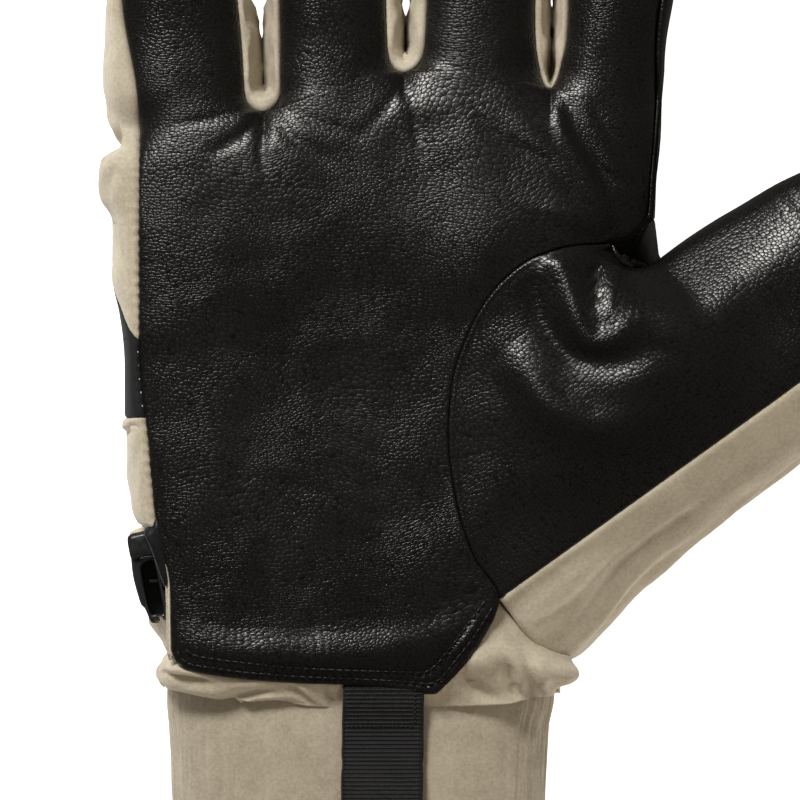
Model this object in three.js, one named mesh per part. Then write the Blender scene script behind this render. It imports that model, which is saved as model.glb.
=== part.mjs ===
// A mountaineering glove for the right hand, lying on its back with the palm up.
// Millimetres. +X towards the thumb, +Y towards the fingertips, +Z out of the palm.
// The origin is on the flat of the back, on the surface that the glove lies on.

import * as THREE from 'three';

// Wall thicknesses and clearances
const LEATHER = 2.0;
const FABRIC = 1.6;
const WEBBING = 1.5;
const SEAM_GAP = 0.35;
const TUCK = 3.4; // how far the loose wrist ring lies under the pieces sewn over it

// The hand's main lines
const CROTCH_LEFT = 54;
const CROTCH_RIGHT = 60;
const KNUCKLE_TOP = 36;
const KNUCKLE_LOW = 12.6;
const PANEL_TOP = 12;
const PANEL_LOW = -3.6;
const WRIST = -50;
const GATHER = -60;
const CUFF_END = -112;

// Squareness of the rounded sections: 2 is an ellipse, more is squarer
const HAND_ROUND = 2.6;
const FINGER_ROUND = 2.3;

const materials = {
  leather: new THREE.MeshStandardMaterial({ color: 0x1c1b1a, roughness: 0.5, metalness: 0 }),
  beige: new THREE.MeshStandardMaterial({ color: 0xbdb29b, roughness: 0.85, metalness: 0 }),
  charcoal: new THREE.MeshStandardMaterial({ color: 0x2b2c2f, roughness: 0.8, metalness: 0 }),
  webbing: new THREE.MeshStandardMaterial({ color: 0x17171a, roughness: 0.75, metalness: 0 }),
  plastic: new THREE.MeshStandardMaterial({ color: 0x141416, roughness: 0.35, metalness: 0 }),
};

const group = new THREE.Group();

// Numbers

const mix = (a, b, t) => a + (b - a) * t;
const clamp = (x, low, high) => Math.min(Math.max(x, low), high);
const steps = (count, from = 0, to = 1) =>
  Array.from({ length: count + 1 }, (_, i) => mix(from, to, i / count));

function ease(low, high, x) {
  const t = clamp((x - low) / (high - low), 0, 1);
  return t * t * (3 - 2 * t);
}

// One column of a table as a smooth function of another, with no overshoot between the rows.
function along(rows, key, column) {
  const slopes = rows.slice(1).map((row, i) => (row[column] - rows[i][column]) / (row[key] - rows[i][key]));
  const tangents = rows.map((_, i) => {
    const before = slopes[Math.max(i - 1, 0)];
    const after = slopes[Math.min(i, slopes.length - 1)];
    return before * after <= 0 ? 0 : (2 * before * after) / (before + after);
  });
  return (at) => {
    const last = rows.length - 1;
    if (at <= rows[0][key]) return rows[0][column];
    if (at >= rows[last][key]) return rows[last][column];
    const i = rows.findIndex((row) => row[key] > at) - 1;
    const span = rows[i + 1][key] - rows[i][key];
    const t = (at - rows[i][key]) / span;
    const rise = tangents[i] * span;
    const fall = tangents[i + 1] * span;
    const step = rows[i + 1][column] - rows[i][column];
    return rows[i][column] + t * (rise + t * (3 * step - 2 * rise - fall + t * (rise + fall - 2 * step)));
  };
}

// Height of a rounded section of half-width 1 and height 1, at a place across it.
const rounded = (across, round) => (1 - Math.min(Math.abs(across), 1) ** round) ** (1 / round);

// Sheets

// A sewn panel as one closed solid: the patches are grids of points on its outer face, the points
// they share are welded, and the inner face lies a wall's thickness further in. A point on a seam
// may carry its own way in, so that both sides of the seam stay clear of each other.
function sheet(name, material, thickness, away, patches, limit = (inner) => inner) {
  const points = [];
  const index = new Map();
  const faces = [];
  const vertex = (p) => {
    const key = `${Math.round(p.x * 500)},${Math.round(p.y * 500)},${Math.round(p.z * 500)}`;
    if (!index.has(key)) {
      index.set(key, points.length);
      points.push(p);
    }
    return index.get(key);
  };
  for (const { us, vs, at } of patches) {
    const grid = us.map((u) => vs.map((v) => vertex(at(u, v))));
    for (let i = 0; i + 1 < us.length; i += 1) {
      for (let j = 0; j + 1 < vs.length; j += 1) {
        const [a, b, c, d] = [grid[i][j], grid[i + 1][j], grid[i + 1][j + 1], grid[i][j + 1]];
        const cross = points[a].distanceTo(points[c]) <= points[b].distanceTo(points[d]);
        const pair = cross ? [[a, b, c], [a, c, d]] : [[a, b, d], [b, c, d]];
        faces.push(...pair.filter(([p, q, r]) => p !== q && q !== r && r !== p));
      }
    }
  }
  const facing = faces.map(([a, b, c]) => {
    const one = new THREE.Vector3().subVectors(points[b], points[a]);
    const two = new THREE.Vector3().subVectors(points[c], points[a]);
    return one.cross(two);
  });
  const outward = faces.reduce((sum, [a], i) => sum + facing[i].dot(away(points[a])), 0);
  const turned = outward < 0 ? faces.map(([a, b, c]) => [a, c, b]) : faces;
  const normals = points.map(() => new THREE.Vector3());
  turned.forEach((face, i) => {
    const normal = outward < 0 ? facing[i].clone().negate() : facing[i];
    for (const corner of face) normals[corner].add(normal);
  });
  const inner = points.map((p, i) => {
    const way = p.inward ?? normals[i].normalize().multiplyScalar(-thickness);
    return limit(p.clone().add(way), p);
  });
  const count = points.length;
  const triangles = [];
  const edges = new Map();
  for (const [a, b, c] of turned) {
    triangles.push(a, b, c, a + count, c + count, b + count);
    for (const [p, q] of [[a, b], [b, c], [c, a]]) {
      if (edges.has(`${q},${p}`)) edges.delete(`${q},${p}`);
      else edges.set(`${p},${q}`, [p, q]);
    }
  }
  for (const [p, q] of edges.values()) triangles.push(q, p, p + count, q, p + count, q + count);
  const positions = [...points, ...inner].flatMap((p) => [p.x, p.y, p.z]);
  const geometry = new THREE.BufferGeometry();
  geometry.setAttribute('position', new THREE.Float32BufferAttribute(positions, 3));
  geometry.setIndex(triangles);
  add(name, material, geometry);
}

function add(name, material, geometry) {
  const mesh = new THREE.Mesh(geometry, materials[material]);
  mesh.name = name;
  group.add(mesh);
}

function headingIn(p, way) {
  p.inward = way;
  return p;
}

const fromPoint = (x, y, z) => (p) => new THREE.Vector3(p.x - x, p.y - y, p.z - z);
const up = () => new THREE.Vector3(0, 0, 1);
const down = () => new THREE.Vector3(0, 0, -1);

// The hand's outer form: sections across the hand from the wrist to the finger roots

const HAND = [
  { y: -62, left: -49.4, right: 34.0, middle: 17.2, rise: 18.0 },
  { y: -50, left: -50.4, right: 37.0, middle: 17.5, rise: 19.0 },
  { y: -30, left: -52.6, right: 40.0, middle: 18.0, rise: 20.0 },
  { y: 0, left: -55.6, right: 46.0, middle: 18.0, rise: 20.5 },
  { y: 30, left: -57.4, right: 51.5, middle: 18.0, rise: 19.5 },
  { y: 50, left: -58.2, right: 52.6, middle: 17.0, rise: 17.5 },
  { y: 66, left: -59.2, right: 53.2, middle: 16.0, rise: 15.5 },
];
const handLeft = along(HAND, 'y', 'left');
const handRight = along(HAND, 'y', 'right');
const handMiddle = along(HAND, 'y', 'middle');
const handRise = along(HAND, 'y', 'rise');

// Soft rises and dips of the palm: a swell above the hem, a dip before it, the hollow of the hand.
const PALM_SWELLS = [
  { x: -12, y: -46, wide: 34, long: 4.5, high: 1.2 },
  { x: -14, y: -52.5, wide: 36, long: 3.0, high: -0.8 },
  { x: -14, y: 4, wide: 22, long: 26, high: -1.6 },
  { x: 14, y: 44, wide: 20, long: 14, high: 1.0 },
];

// How far across the hand a place is, from -1 on the left outline to 1 on the right one.
function across(x, y, right) {
  const centre = (handLeft(y) + right) / 2;
  return (x - centre) / ((right - handLeft(y)) / 2);
}

function palmHeight(x, y) {
  const swell = PALM_SWELLS.reduce((sum, s) =>
    sum + s.high * Math.exp(-(((x - s.x) / s.wide) ** 2) - ((y - s.y) / s.long) ** 2), 0);
  return handMiddle(y) + handRise(y) * rounded(across(x, y, handRight(y)), HAND_ROUND) + swell;
}

// The back is flat where the glove lies on it, and runs on flat under the thumb.
const THUMB_ROOM = 9;
function backHeight(x, y) {
  const middle = handMiddle(y);
  const right = handRight(y) + THUMB_ROOM * (1 - ease(22, 40, y));
  return Math.max(middle - (middle + 2.2) * rounded(across(x, y, right), 4), 0);
}

// The palm leather's edges

const LEATHER_LEFT = [
  { y: -52.4, x: -44.8 },
  { y: -49.6, x: -45.6 },
  { y: -37.8, x: -45.8 },
  { y: -23.6, x: -48.8 },
  { y: -8.8, x: -50.2 },
  { y: 11.4, x: -52.0 },
  { y: 54.0, x: -52.1 },
];
const leatherLeft = along(LEATHER_LEFT, 'y', 'x');

// Rows across the palm, from the hem up to the finger roots. The right ends follow the slanted
// edge, the thumb's round seam, the web and the index finger.
const PALM_ROWS = [
  { row: 0, leftY: -52.4, rightX: 7.6, rightY: -58.4, bow: -1.6 },
  { row: 1, leftY: -49.0, rightX: 11.8, rightY: -54.2, bow: -0.9 },
  { row: 2, leftY: -44.0, rightX: 16.4, rightY: -48.0, bow: -0.4 },
  { row: 3, leftY: -37.0, rightX: 19.8, rightY: -39.6, bow: 0 },
  { row: 4, leftY: -28.0, rightX: 14.6, rightY: -31.0, bow: 0 },
  { row: 5, leftY: -18.0, rightX: 11.0, rightY: -19.5, bow: 0 },
  { row: 6, leftY: -8.0, rightX: 9.5, rightY: -7.0, bow: 0 },
  { row: 7, leftY: 2.0, rightX: 10.2, rightY: 3.0, bow: 0 },
  { row: 8, leftY: 11.0, rightX: 13.8, rightY: 14.0, bow: 0 },
  { row: 9, leftY: 18.0, rightX: 19.2, rightY: 22.6, bow: 0 },
  { row: 10, leftY: 23.0, rightX: 27.4, rightY: 28.8, bow: 0 },
  { row: 11, leftY: 27.5, rightX: 35.6, rightY: 30.9, bow: 0 },
  { row: 12, leftY: 32.0, rightX: 42.2, rightY: 31.4, bow: 0 },
  { row: 13, leftY: 38.0, rightX: 49.2, rightY: 36.6, bow: 0.1 },
  { row: 14, leftY: 44.0, rightX: 50.0, rightY: 45.0, bow: 0.35 },
  { row: 15, leftY: 49.5, rightX: 50.8, rightY: 53.5, bow: 0.7 },
  { row: 16, leftY: CROTCH_LEFT, rightX: 51.2, rightY: CROTCH_RIGHT, bow: 1 },
];
const rowLeftY = along(PALM_ROWS, 'row', 'leftY');
const rowRightX = along(PALM_ROWS, 'row', 'rightX');
const rowRightY = along(PALM_ROWS, 'row', 'rightY');
const rowBow = along(PALM_ROWS, 'row', 'bow');
const WEB_ROW = 12;
const ROOT_ROW = 16;

// How far the row of finger roots rises above a straight row, across the hand.
const ROOT_LINE = [
  { v: 0, rise: 0 },
  { v: 0.12, rise: 1.4 },
  { v: 0.242, rise: 2.3 },
  { v: 0.378, rise: 6.0 },
  { v: 0.513, rise: 8.5 },
  { v: 0.655, rise: 7.2 },
  { v: 0.797, rise: 3.4 },
  { v: 1, rise: 0 },
];
const rootRise = along(ROOT_LINE, 'v', 'rise');

function palmPlan(row, v) {
  const leftY = rowLeftY(row);
  const x = mix(leatherLeft(leftY), rowRightX(row), v);
  let y = mix(leftY, rowRightY(row), v);
  if (row > WEB_ROW) y += rowBow(row) * rootRise(v);
  else y += rowBow(row) * Math.sin(Math.PI * v);
  return { x, y };
}

// Fingers. x is the centre at the roots, lean the sideways drift, from and to the share of the palm's width.
const FINGERS = [
  { name: 'little', x: -43.4, lean: -0.05, root: 15.7, body: 13.2, tip: 124, from: 0, to: 0.242 },
  { name: 'ring', x: -13.2, lean: -0.02, root: 14.0, body: 13.4, tip: 145, from: 0.242, to: 0.513 },
  { name: 'middle', x: 15.7, lean: 0.03, root: 14.3, body: 13.6, tip: 150, from: 0.513, to: 0.797 },
  { name: 'index', x: 41.8, lean: 0.08, root: 11.3, body: 13.2, tip: 140, from: 0.797, to: 1 },
];
const ROOT_Y = 66;
const ROOT_MIDDLE = 16;
const ROOT_RISE = 15.3;
const TIP_LIFT = 9;
const TIP_ROUND = 15;
const ROOT_EDGE = 0.97; // how near a finger's ridge comes to its full width at the roots
const SEAM_HEIGHT = 0.7; // of the finger's half-height, where front and sides are sewn
const FLAT_TIP = 0.35; // width that is left at the fingertip seam
const STRIP_END = 0.9; // of the finger's length, where the side strips run out

function fingerAt(finger, y) {
  const length = finger.tip - ROOT_Y;
  const done = clamp((y - ROOT_Y) / length, 0, 1);
  const dome = Math.sqrt(1 - (1 - clamp((finger.tip - y) / TIP_ROUND, 0, 1)) ** 2);
  const half = mix(finger.root, finger.body, ease(ROOT_Y, ROOT_Y + 34, y));
  return {
    centre: finger.x + finger.lean * (y - ROOT_Y),
    half: half * mix(FLAT_TIP, 1, dome),
    middle: ROOT_MIDDLE + TIP_LIFT * done ** 1.5,
    rise: mix(ROOT_RISE, 12, done) * dome,
  };
}

// The side seams' height above the finger's middle, as a share of its half-height, and how far out
// they lie, as a share of its half-width: they run out to the sides at the tip.
const seamLift = (f) => SEAM_HEIGHT * (1 - clamp(f / STRIP_END, 0, 1) ** 4);
const seamAcross = (f) => rounded(seamLift(f), FINGER_ROUND) * (f > STRIP_END ? 0.995 : 1);

// The notches between the fingers
const NOTCHES = [
  { v: 0.242, round: 4.0, wall: 'fourchette_little_ring' },
  { v: 0.513, round: 5.0, wall: 'fourchette_ring_middle' },
  { v: 0.797, round: 5.0, wall: 'fourchette_middle_index' },
];

// A point on a finger's front (side 1) or back (side -1): f runs from the roots to the tip.
function fingerPoint(number, side, f, v) {
  const finger = FINGERS[number];
  const root = palmPlan(ROOT_ROW, mix(finger.from, finger.to, v));
  const y = mix(root.y, finger.tip, f);
  const ring = fingerAt(finger, y);
  const reach = seamAcross(f) * ring.half;
  const edge = (share, notch, sign) => {
    const start = palmPlan(ROOT_ROW, share);
    const beyond = mix(start.y, finger.tip, f) - start.y;
    const turn = clamp(beyond / (notch ? notch.round : 30), 0, 1);
    const opening = notch ? Math.sqrt(1 - (1 - turn) ** 2) : ease(0, 1, turn);
    return mix(start.x, ring.centre + sign * reach, opening);
  };
  const left = edge(finger.from, NOTCHES[number - 1], -1);
  const right = edge(finger.to, NOTCHES[number], 1);
  const x = mix(left, right, v);
  const place = mix(ROOT_EDGE * (2 * v - 1), (x - ring.centre) / ring.half, ease(0, 8, y - root.y));
  const lift = Math.max(ring.rise * rounded(place, FINGER_ROUND), SEAM_GAP / 2 + 0.1);
  return { x, y, ring: ring.middle + side * lift, beyond: y - root.y };
}

function blended(point, side, from) {
  const hand = side > 0 ? palmHeight(point.x, from) : backHeight(point.x, from);
  return mix(hand, point.ring, ease(-9, 14, point.beyond));
}

const fingerSurface = (number, side) => (f, v) => {
  const point = fingerPoint(number, side, f, v);
  return new THREE.Vector3(point.x, point.y, blended(point, side, Math.min(point.y, ROOT_Y)));
};

// Height of the fingers' ridges across the roots, above or below their middle.
function rootRidge(v, side) {
  const finger = FINGERS.find((one) => v <= one.to);
  const place = (2 * (v - finger.from)) / (finger.to - finger.from) - 1;
  return ROOT_MIDDLE + side * ROOT_RISE * rounded(ROOT_EDGE * place, FINGER_ROUND);
}

// The palm below the roots, where the fingers' ridges begin to show.
function palmSurface(row, v) {
  const { x, y } = palmPlan(row, v);
  const root = palmPlan(ROOT_ROW, v);
  return new THREE.Vector3(x, y, mix(palmHeight(x, y), rootRidge(v, 1), ease(-9, 14, y - root.y)));
}

const FINGER_ROWS = [0, 0.012, 0.045, 0.1, 0.2, 0.36, 0.54, 0.7, 0.79, 0.85, 0.92, 0.97, 1];
const FINGER_COLUMNS = [0, 0.2, 0.5, 0.8, 1];
const palmColumns = FINGERS.map(({ from, to }) => FINGER_COLUMNS.map((v) => mix(from, to, v)));

// Inner faces stay on their own side of the finger's side seams, so front and back don't meet.
const ownSide = (side) => (inner, outer) => {
  if (outer.y < ROOT_Y) return inner;
  const finger = FINGERS.reduce((best, one) =>
    (Math.abs(fingerAt(one, outer.y).centre - outer.x) < Math.abs(fingerAt(best, outer.y).centre - outer.x) ? one : best));
  const { middle, rise } = fingerAt(finger, Math.min(outer.y, finger.tip));
  const seam = 0.95 * rise * seamLift((outer.y - ROOT_Y) / (finger.tip - ROOT_Y));
  inner.z = middle + side * Math.max(side * (inner.z - middle), seam, SEAM_GAP / 2);
  return inner;
};

const fingerPatches = (side) => FINGERS.map((_, number) =>
  ({ us: FINGER_ROWS, vs: FINGER_COLUMNS, at: fingerSurface(number, side) }));

sheet('palm_leather', 'leather', LEATHER, up, [
  ...palmColumns.map((vs) => ({ us: steps(ROOT_ROW, 0, ROOT_ROW), vs, at: (row, v) => palmSurface(row, v) })),
  ...fingerPatches(1),
], ownSide(1));

// The back of the hand

// Where the back ends on the thumb's side: along the thumb's root, then along the index finger.
const BACK_RIGHT = [
  { y: -51, x: 32.6 },
  { y: 29, x: 49.2 },
  { y: 36, x: 49.8 },
  { y: CROTCH_RIGHT, x: 51.2 },
];
const backRight = along(BACK_RIGHT, 'y', 'x');

function backSurface(y, v) {
  const x = mix(leatherLeft(y), backRight(y), v);
  return new THREE.Vector3(x, y, backHeight(x, y));
}

function backRoots(t, v) {
  const root = palmPlan(ROOT_ROW, v);
  const y = mix(KNUCKLE_TOP + SEAM_GAP, root.y, t);
  const x = mix(backSurface(y, v).x, root.x, t);
  return new THREE.Vector3(x, y, mix(backHeight(x, y), rootRidge(v, -1), ease(-9, 14, y - root.y)));
}

sheet('back_finger_fabric', 'beige', FABRIC, down, [
  ...palmColumns.map((vs) => ({ us: steps(4), vs, at: backRoots })),
  ...fingerPatches(-1),
], ownSide(-1));

// The hand's left side

// The outline of the glove's left side as seen from above, with its bulges and creases.
const LEFT_SIDE = [
  { y: -52, x: -47.6 },
  { y: -47.4, x: -48.8 },
  { y: -46.4, x: -48.2 },
  { y: -45.4, x: -45.3 },
  { y: -39, x: -44.7 },
  { y: -33, x: -46.0 },
  { y: -25.6, x: -47.5 },
  { y: -23.9, x: -52.6 },
  { y: -21, x: -53.4 },
  { y: -14, x: -54.2 },
  { y: -7.4, x: -54.8 },
  { y: -5.8, x: -54.3 },
  { y: -3.6, x: -55.1 },
  { y: 7, x: -54.8 },
  { y: 12, x: -55.1 },
  { y: 17, x: -56.0 },
  { y: 25, x: -57.4 },
  { y: 36, x: -57.4 },
  { y: 41, x: -59.6 },
  { y: 46, x: -60.2 },
  { y: 49.5, x: -57.8 },
  { y: 51, x: -56.4 },
  { y: 56, x: -57.9 },
  { y: 63, x: -59.2 },
  { y: 67, x: -59.3 },
];
const leftSide = along(LEFT_SIDE, 'y', 'x');

// A strip sewn between two seams that bulges to a given reach, a seam's gap outside each of them.
function bulged(top, bottom, reach, v, outward = null, topGap = SEAM_GAP, bottomGap = SEAM_GAP) {
  const p = top.clone().lerp(bottom, (1 - Math.cos(Math.PI * v)) / 2);
  p.z += mix(-0.6 * topGap, 0.6 * bottomGap, v);
  const middle = top.clone().lerp(bottom, 0.5);
  const out = new THREE.Vector2(reach.x - middle.x, reach.y - middle.y);
  const way = outward ?? out.clone().normalize();
  const bulge = Math.max(Math.sin(Math.PI * v), 0) ** 0.8;
  const gap = mix(topGap, bottomGap, v) * (1 - bulge);
  const point = new THREE.Vector3(p.x + out.x * bulge + way.x * gap, p.y + out.y * bulge + way.y * gap, p.z);
  const depth = Math.min(FABRIC, 0.35 * (top.z - bottom.z));
  if (v === 0 && topGap > 0) headingIn(point, new THREE.Vector3(0, 0, -depth));
  if (v === 1 && bottomGap > 0) headingIn(point, new THREE.Vector3(0, 0, depth));
  return point;
}
const TO_LEFT = new THREE.Vector2(-1, 0);

const sideTop = (y) => {
  const x = leatherLeft(y);
  return new THREE.Vector3(x, y, mix(palmHeight(x, y), rootRidge(0, 1), ease(-9, 14, y - CROTCH_LEFT)));
};
const sideBottom = (y) => {
  const low = backSurface(y, 0);
  return low.setZ(mix(low.z, rootRidge(0, -1), ease(-9, 14, y - CROTCH_LEFT)));
};
const handSide = (y, v, topGap, bottomGap) =>
  bulged(sideTop(y), sideBottom(y), { x: leftSide(y), y }, v, TO_LEFT, topGap, bottomGap);

// The outer side of a finger, between the seams of its front and back.
function fingerSide(number, f, v) {
  const edge = number === 0 ? 0 : 1;
  const sign = number === 0 ? -1 : 1;
  const top = fingerSurface(number, 1)(f, edge);
  const bottom = fingerSurface(number, -1)(f, edge);
  const ring = fingerAt(FINGERS[number], top.y);
  const outline = number === 0 ? leftSide(top.y) : handRight(top.y);
  const x = mix(outline, ring.centre + sign * ring.half, ease(CROTCH_RIGHT, ROOT_Y + 14, top.y));
  return bulged(top, bottom, { x, y: top.y }, v);
}
const SIDE_ROWS = FINGER_ROWS.filter((f) => f < STRIP_END);
const STRIP_COLUMNS = steps(4);

// The beige side tapers to a point on the leather's edge, with the knuckle panel below it.
const SIDE_BORDER = [
  { y: KNUCKLE_LOW, v: 0.16 },
  { y: 21, v: 0.36 },
  { y: 27, v: 0.44 },
  { y: 35, v: 0.52 },
  { y: 36, v: 0.97 },
];
const sideBorder = along(SIDE_BORDER, 'y', 'v');
const upperRows = [KNUCKLE_LOW, 21, 28, 35.2, 36.4, 41, 46, 49.5, 51, CROTCH_LEFT];

sheet('little_side_fabric', 'beige', FABRIC, fromPoint(-30, 60, 16), [
  {
    us: upperRows,
    vs: STRIP_COLUMNS,
    at: (y, v) => handSide(y, v * (y > KNUCKLE_TOP ? 1 : sideBorder(y) - 0.03)),
  },
  { us: SIDE_ROWS, vs: STRIP_COLUMNS, at: (f, v) => fingerSide(0, f, v) },
]);

sheet('knuckle_panel', 'charcoal', FABRIC, fromPoint(-5, 25, 16), [
  {
    us: [KNUCKLE_LOW, 21, 28, KNUCKLE_TOP - SEAM_GAP],
    vs: steps(3),
    at: (y, v) => handSide(y, mix(sideBorder(y) + 0.03, 1, v), SEAM_GAP, 0),
  },
  { us: [KNUCKLE_LOW, 21, 28, KNUCKLE_TOP - SEAM_GAP], vs: [0, 0.06, 0.3, 0.6, 0.9, 1], at: backSurface },
]);

sheet('side_panel', 'charcoal', FABRIC, fromPoint(-5, 5, 16), [
  {
    us: [PANEL_LOW + SEAM_GAP, 4, PANEL_TOP],
    vs: steps(4),
    at: (y, v) => handSide(y, v, SEAM_GAP, 0),
  },
  { us: [PANEL_LOW + SEAM_GAP, 4, PANEL_TOP], vs: [0, 0.06, 0.3, 0.6, 0.9, 1], at: backSurface },
]);

const wristSideRows = [WRIST + 1, -47.4, -46.4, -45.4, -39, -33, -25.6, -23.9, -21, -14, -7.4, -5.8, PANEL_LOW - 0.8];
sheet('wrist_side_fabric', 'beige', FABRIC, fromPoint(-10, -25, 16), [
  { us: wristSideRows, vs: STRIP_COLUMNS, at: (y, v) => handSide(y, v) },
]);

sheet('back_wrist_fabric', 'beige', FABRIC, down, [
  { us: [GATHER + 0.4, WRIST, -34, -18, PANEL_LOW - SEAM_GAP], vs: [0, 0.06, 0.3, 0.6, 0.9, 1], at: backSurface },
]);

// Index side and the strips between the fingers

sheet('index_side', 'leather', LEATHER, fromPoint(30, 80, 16), [
  {
    us: [13, 14, 15, 16],
    vs: STRIP_COLUMNS,
    at: (row, v) => {
      const top = palmSurface(row, 1);
      const bottom = backRoots(clamp((top.y - KNUCKLE_TOP) / (CROTCH_RIGHT - KNUCKLE_TOP), 0, 1), 1);
      return bulged(top, bottom, { x: handRight(top.y), y: top.y }, v);
    },
  },
  { us: SIDE_ROWS, vs: STRIP_COLUMNS, at: (f, v) => fingerSide(3, f, v) },
]);

const NOTCH_DEPTH = 4.6; // how far the strip's fold lies beyond the seam at the bottom of the notch

NOTCHES.forEach((notch, number) => {
  const root = palmPlan(ROOT_ROW, notch.v);
  const wall = (f, v) => {
    const left = f < 0;
    const which = left ? number : number + 1;
    const along = Math.abs(f);
    const top = fingerSurface(which, 1)(along, left ? 1 : 0);
    const bottom = fingerSurface(which, -1)(along, left ? 1 : 0);
    const beyond = top.y - root.y;
    const y = root.y + Math.max(beyond, NOTCH_DEPTH + 0.55 * beyond);
    const one = fingerAt(FINGERS[number], y);
    const two = fingerAt(FINGERS[number + 1], y);
    const ring = fingerAt(FINGERS[which], y);
    const sign = left ? 1 : -1;
    const between = (one.centre + one.half + two.centre - two.half) / 2;
    const open = ease(0, 1, clamp(beyond / 1.5, 0, 1));
    const own = ring.centre + sign * ring.half;
    const free = sign * (between - own) > SEAM_GAP ? own : between - sign * SEAM_GAP;
    return bulged(top, bottom, { x: mix(root.x, free, open), y }, v);
  };
  const us = [...SIDE_ROWS.slice(1).reverse().map((f) => -f), ...SIDE_ROWS];
  sheet(notch.wall, 'beige', FABRIC, (p) => new THREE.Vector3(root.x - p.x, 60, 0), [
    { us, vs: STRIP_COLUMNS, at: wall },
  ]);
});

// The thumb: its axis leaves the wrist side and leans out at THUMB_LEAN.
// s runs along the axis, n across it, and turn is the angle round it from the upper side.

const THUMB_LEAN = THREE.MathUtils.degToRad(37);
const THUMB_TIP = 117;
const THUMB_ROUND = 12;
const THUMB = [
  { s: 58, centre: -33.4, half: 24.9, middle: 20.0, rise: 18.0, low: -25, high: 117, under: 335 },
  { s: 70, centre: -33.6, half: 24.6, middle: 20.0, rise: 17.4, low: -25, high: 117, under: 335 },
  { s: 78, centre: -34.0, half: 24.2, middle: 20.2, rise: 17.0, low: 34, high: 117, under: 290 },
  { s: 92, centre: -34.6, half: 22.4, middle: 20.6, rise: 16.2, low: 34, high: 124, under: 290 },
  { s: 104, centre: -35.4, half: 19.8, middle: 21.4, rise: 15.2, low: 2, high: 150, under: 350 },
  { s: 110, centre: -35.8, half: 18.6, middle: 22.0, rise: 14.6, low: 0.5, high: 179.5, under: 359.5 },
  { s: THUMB_TIP, centre: -36.0, half: 17.6, middle: 22.6, rise: 14.0, low: 0.5, high: 179.5, under: 359.5 },
];
const THUMB_PANEL_START = 72;
const THUMB_PANEL_END = 104;
const thumbColumn = (name) => along(THUMB, 's', name);
const thumbForm = {
  centre: thumbColumn('centre'),
  half: thumbColumn('half'),
  middle: thumbColumn('middle'),
  rise: thumbColumn('rise'),
  low: thumbColumn('low'),
  high: thumbColumn('high'),
  under: thumbColumn('under'),
};

const onThumb = (s, n, z) => new THREE.Vector3(
  s * Math.cos(THUMB_LEAN) - n * Math.sin(THUMB_LEAN),
  s * Math.sin(THUMB_LEAN) + n * Math.cos(THUMB_LEAN),
  z,
);

// A point on the thumb's round surface; on a seam it heads in towards the thumb's axis.
function thumbRing(s, degrees, seamWall = 0) {
  const turn = THREE.MathUtils.degToRad(degrees);
  const dome = Math.sqrt(1 - (1 - clamp((THUMB_TIP - s) / THUMB_ROUND, 0, 1)) ** 2);
  const power = 2 / 2.2;
  const wide = Math.sign(Math.cos(turn)) * Math.abs(Math.cos(turn)) ** power;
  const high = Math.sign(Math.sin(turn)) * Math.abs(Math.sin(turn)) ** power;
  const rise = thumbForm.rise(s) * dome * high;
  const apart = Math.sign(high || 1) * (SEAM_GAP / 2 + 0.1);
  const p = onThumb(
    s,
    thumbForm.centre(s) + thumbForm.half(s) * mix(0.4, 1, dome) * wide,
    Math.max(thumbForm.middle(s) + (Math.abs(rise) < Math.abs(apart) ? apart : rise), 0),
  );
  if (seamWall > 0) {
    const axis = onThumb(s, thumbForm.centre(s), thumbForm.middle(s));
    headingIn(p, axis.sub(p).normalize().multiplyScalar(seamWall));
  }
  return p;
}
const onSeam = (v, wall) => (v === 0 || v === 1 ? wall : 0);

// The round seam on the palm that the thumb's leather starts from, wrist end first.
const thumbArc = (v) => {
  const row = mix(3, WEB_ROW, v);
  const x = rowRightX(row);
  const y = rowRightY(row);
  return new THREE.Vector3(x + 0.5, y - 0.9 * ease(0.3, 0.9, v), palmHeight(x, y) + 0.7);
};
// Folds of the thumb's leather: each runs from its start past its bend to its end.
const THUMB_FOLDS = [
  { startX: 31, startY: 28, bendX: 34, bendY: 2, endX: 46, endY: 21, wide: 3.6, high: 1.3 },
  { startX: 46, startY: 21, bendX: 50, bendY: 27, endX: 57, endY: 29, wide: 3.6, high: 1.2 },
  { startX: 40, startY: 29, bendX: 36, bendY: 22, endX: 38, endY: 17, wide: 3.0, high: -1.6 },
  { startX: 26, startY: 20, bendX: 28, bendY: 6, endX: 43, endY: 1, wide: 3.2, high: -1.0 },
  { startX: 24, startY: 11, bendX: 30, bendY: -1, endX: 48, endY: -6, wide: 5.0, high: 1.0 },
  { startX: 54, startY: 23, bendX: 57, bendY: 14, endX: 64, endY: 8, wide: 3.4, high: -1.0 },
];

// Height of the folds at a place: each is a soft ridge or valley along a bent line.
function foldHeight(folds, x, y) {
  return folds.reduce((sum, f) => {
    const near = steps(8).reduce((least, t) => {
      const lineX = mix(mix(f.startX, f.bendX, t), mix(f.bendX, f.endX, t), t);
      const lineY = mix(mix(f.startY, f.bendY, t), mix(f.bendY, f.endY, t), t);
      return Math.min(least, Math.hypot(x - lineX, y - lineY));
    }, Infinity);
    return sum + f.high * Math.exp(-((near / f.wide) ** 2));
  }, 0);
}

const MOUND = 4.5; // how far the ball of the thumb stands above a straight loft
const THUMB_ROWS = [59, 66, THUMB_PANEL_START, 78, 85, 92, 98, THUMB_PANEL_END, 108, 112, 115, THUMB_TIP];
const WEB_DIP = 3.6; // how far the web's rolled edge hangs in from a straight loft
const ringStart = THUMB_ROWS[0];
const thumbColumns = steps(11);
const folded = (p, v) => {
  p.z += foldHeight(THUMB_FOLDS, p.x, p.y) * Math.sin(Math.PI * v);
  return p;
};

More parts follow.
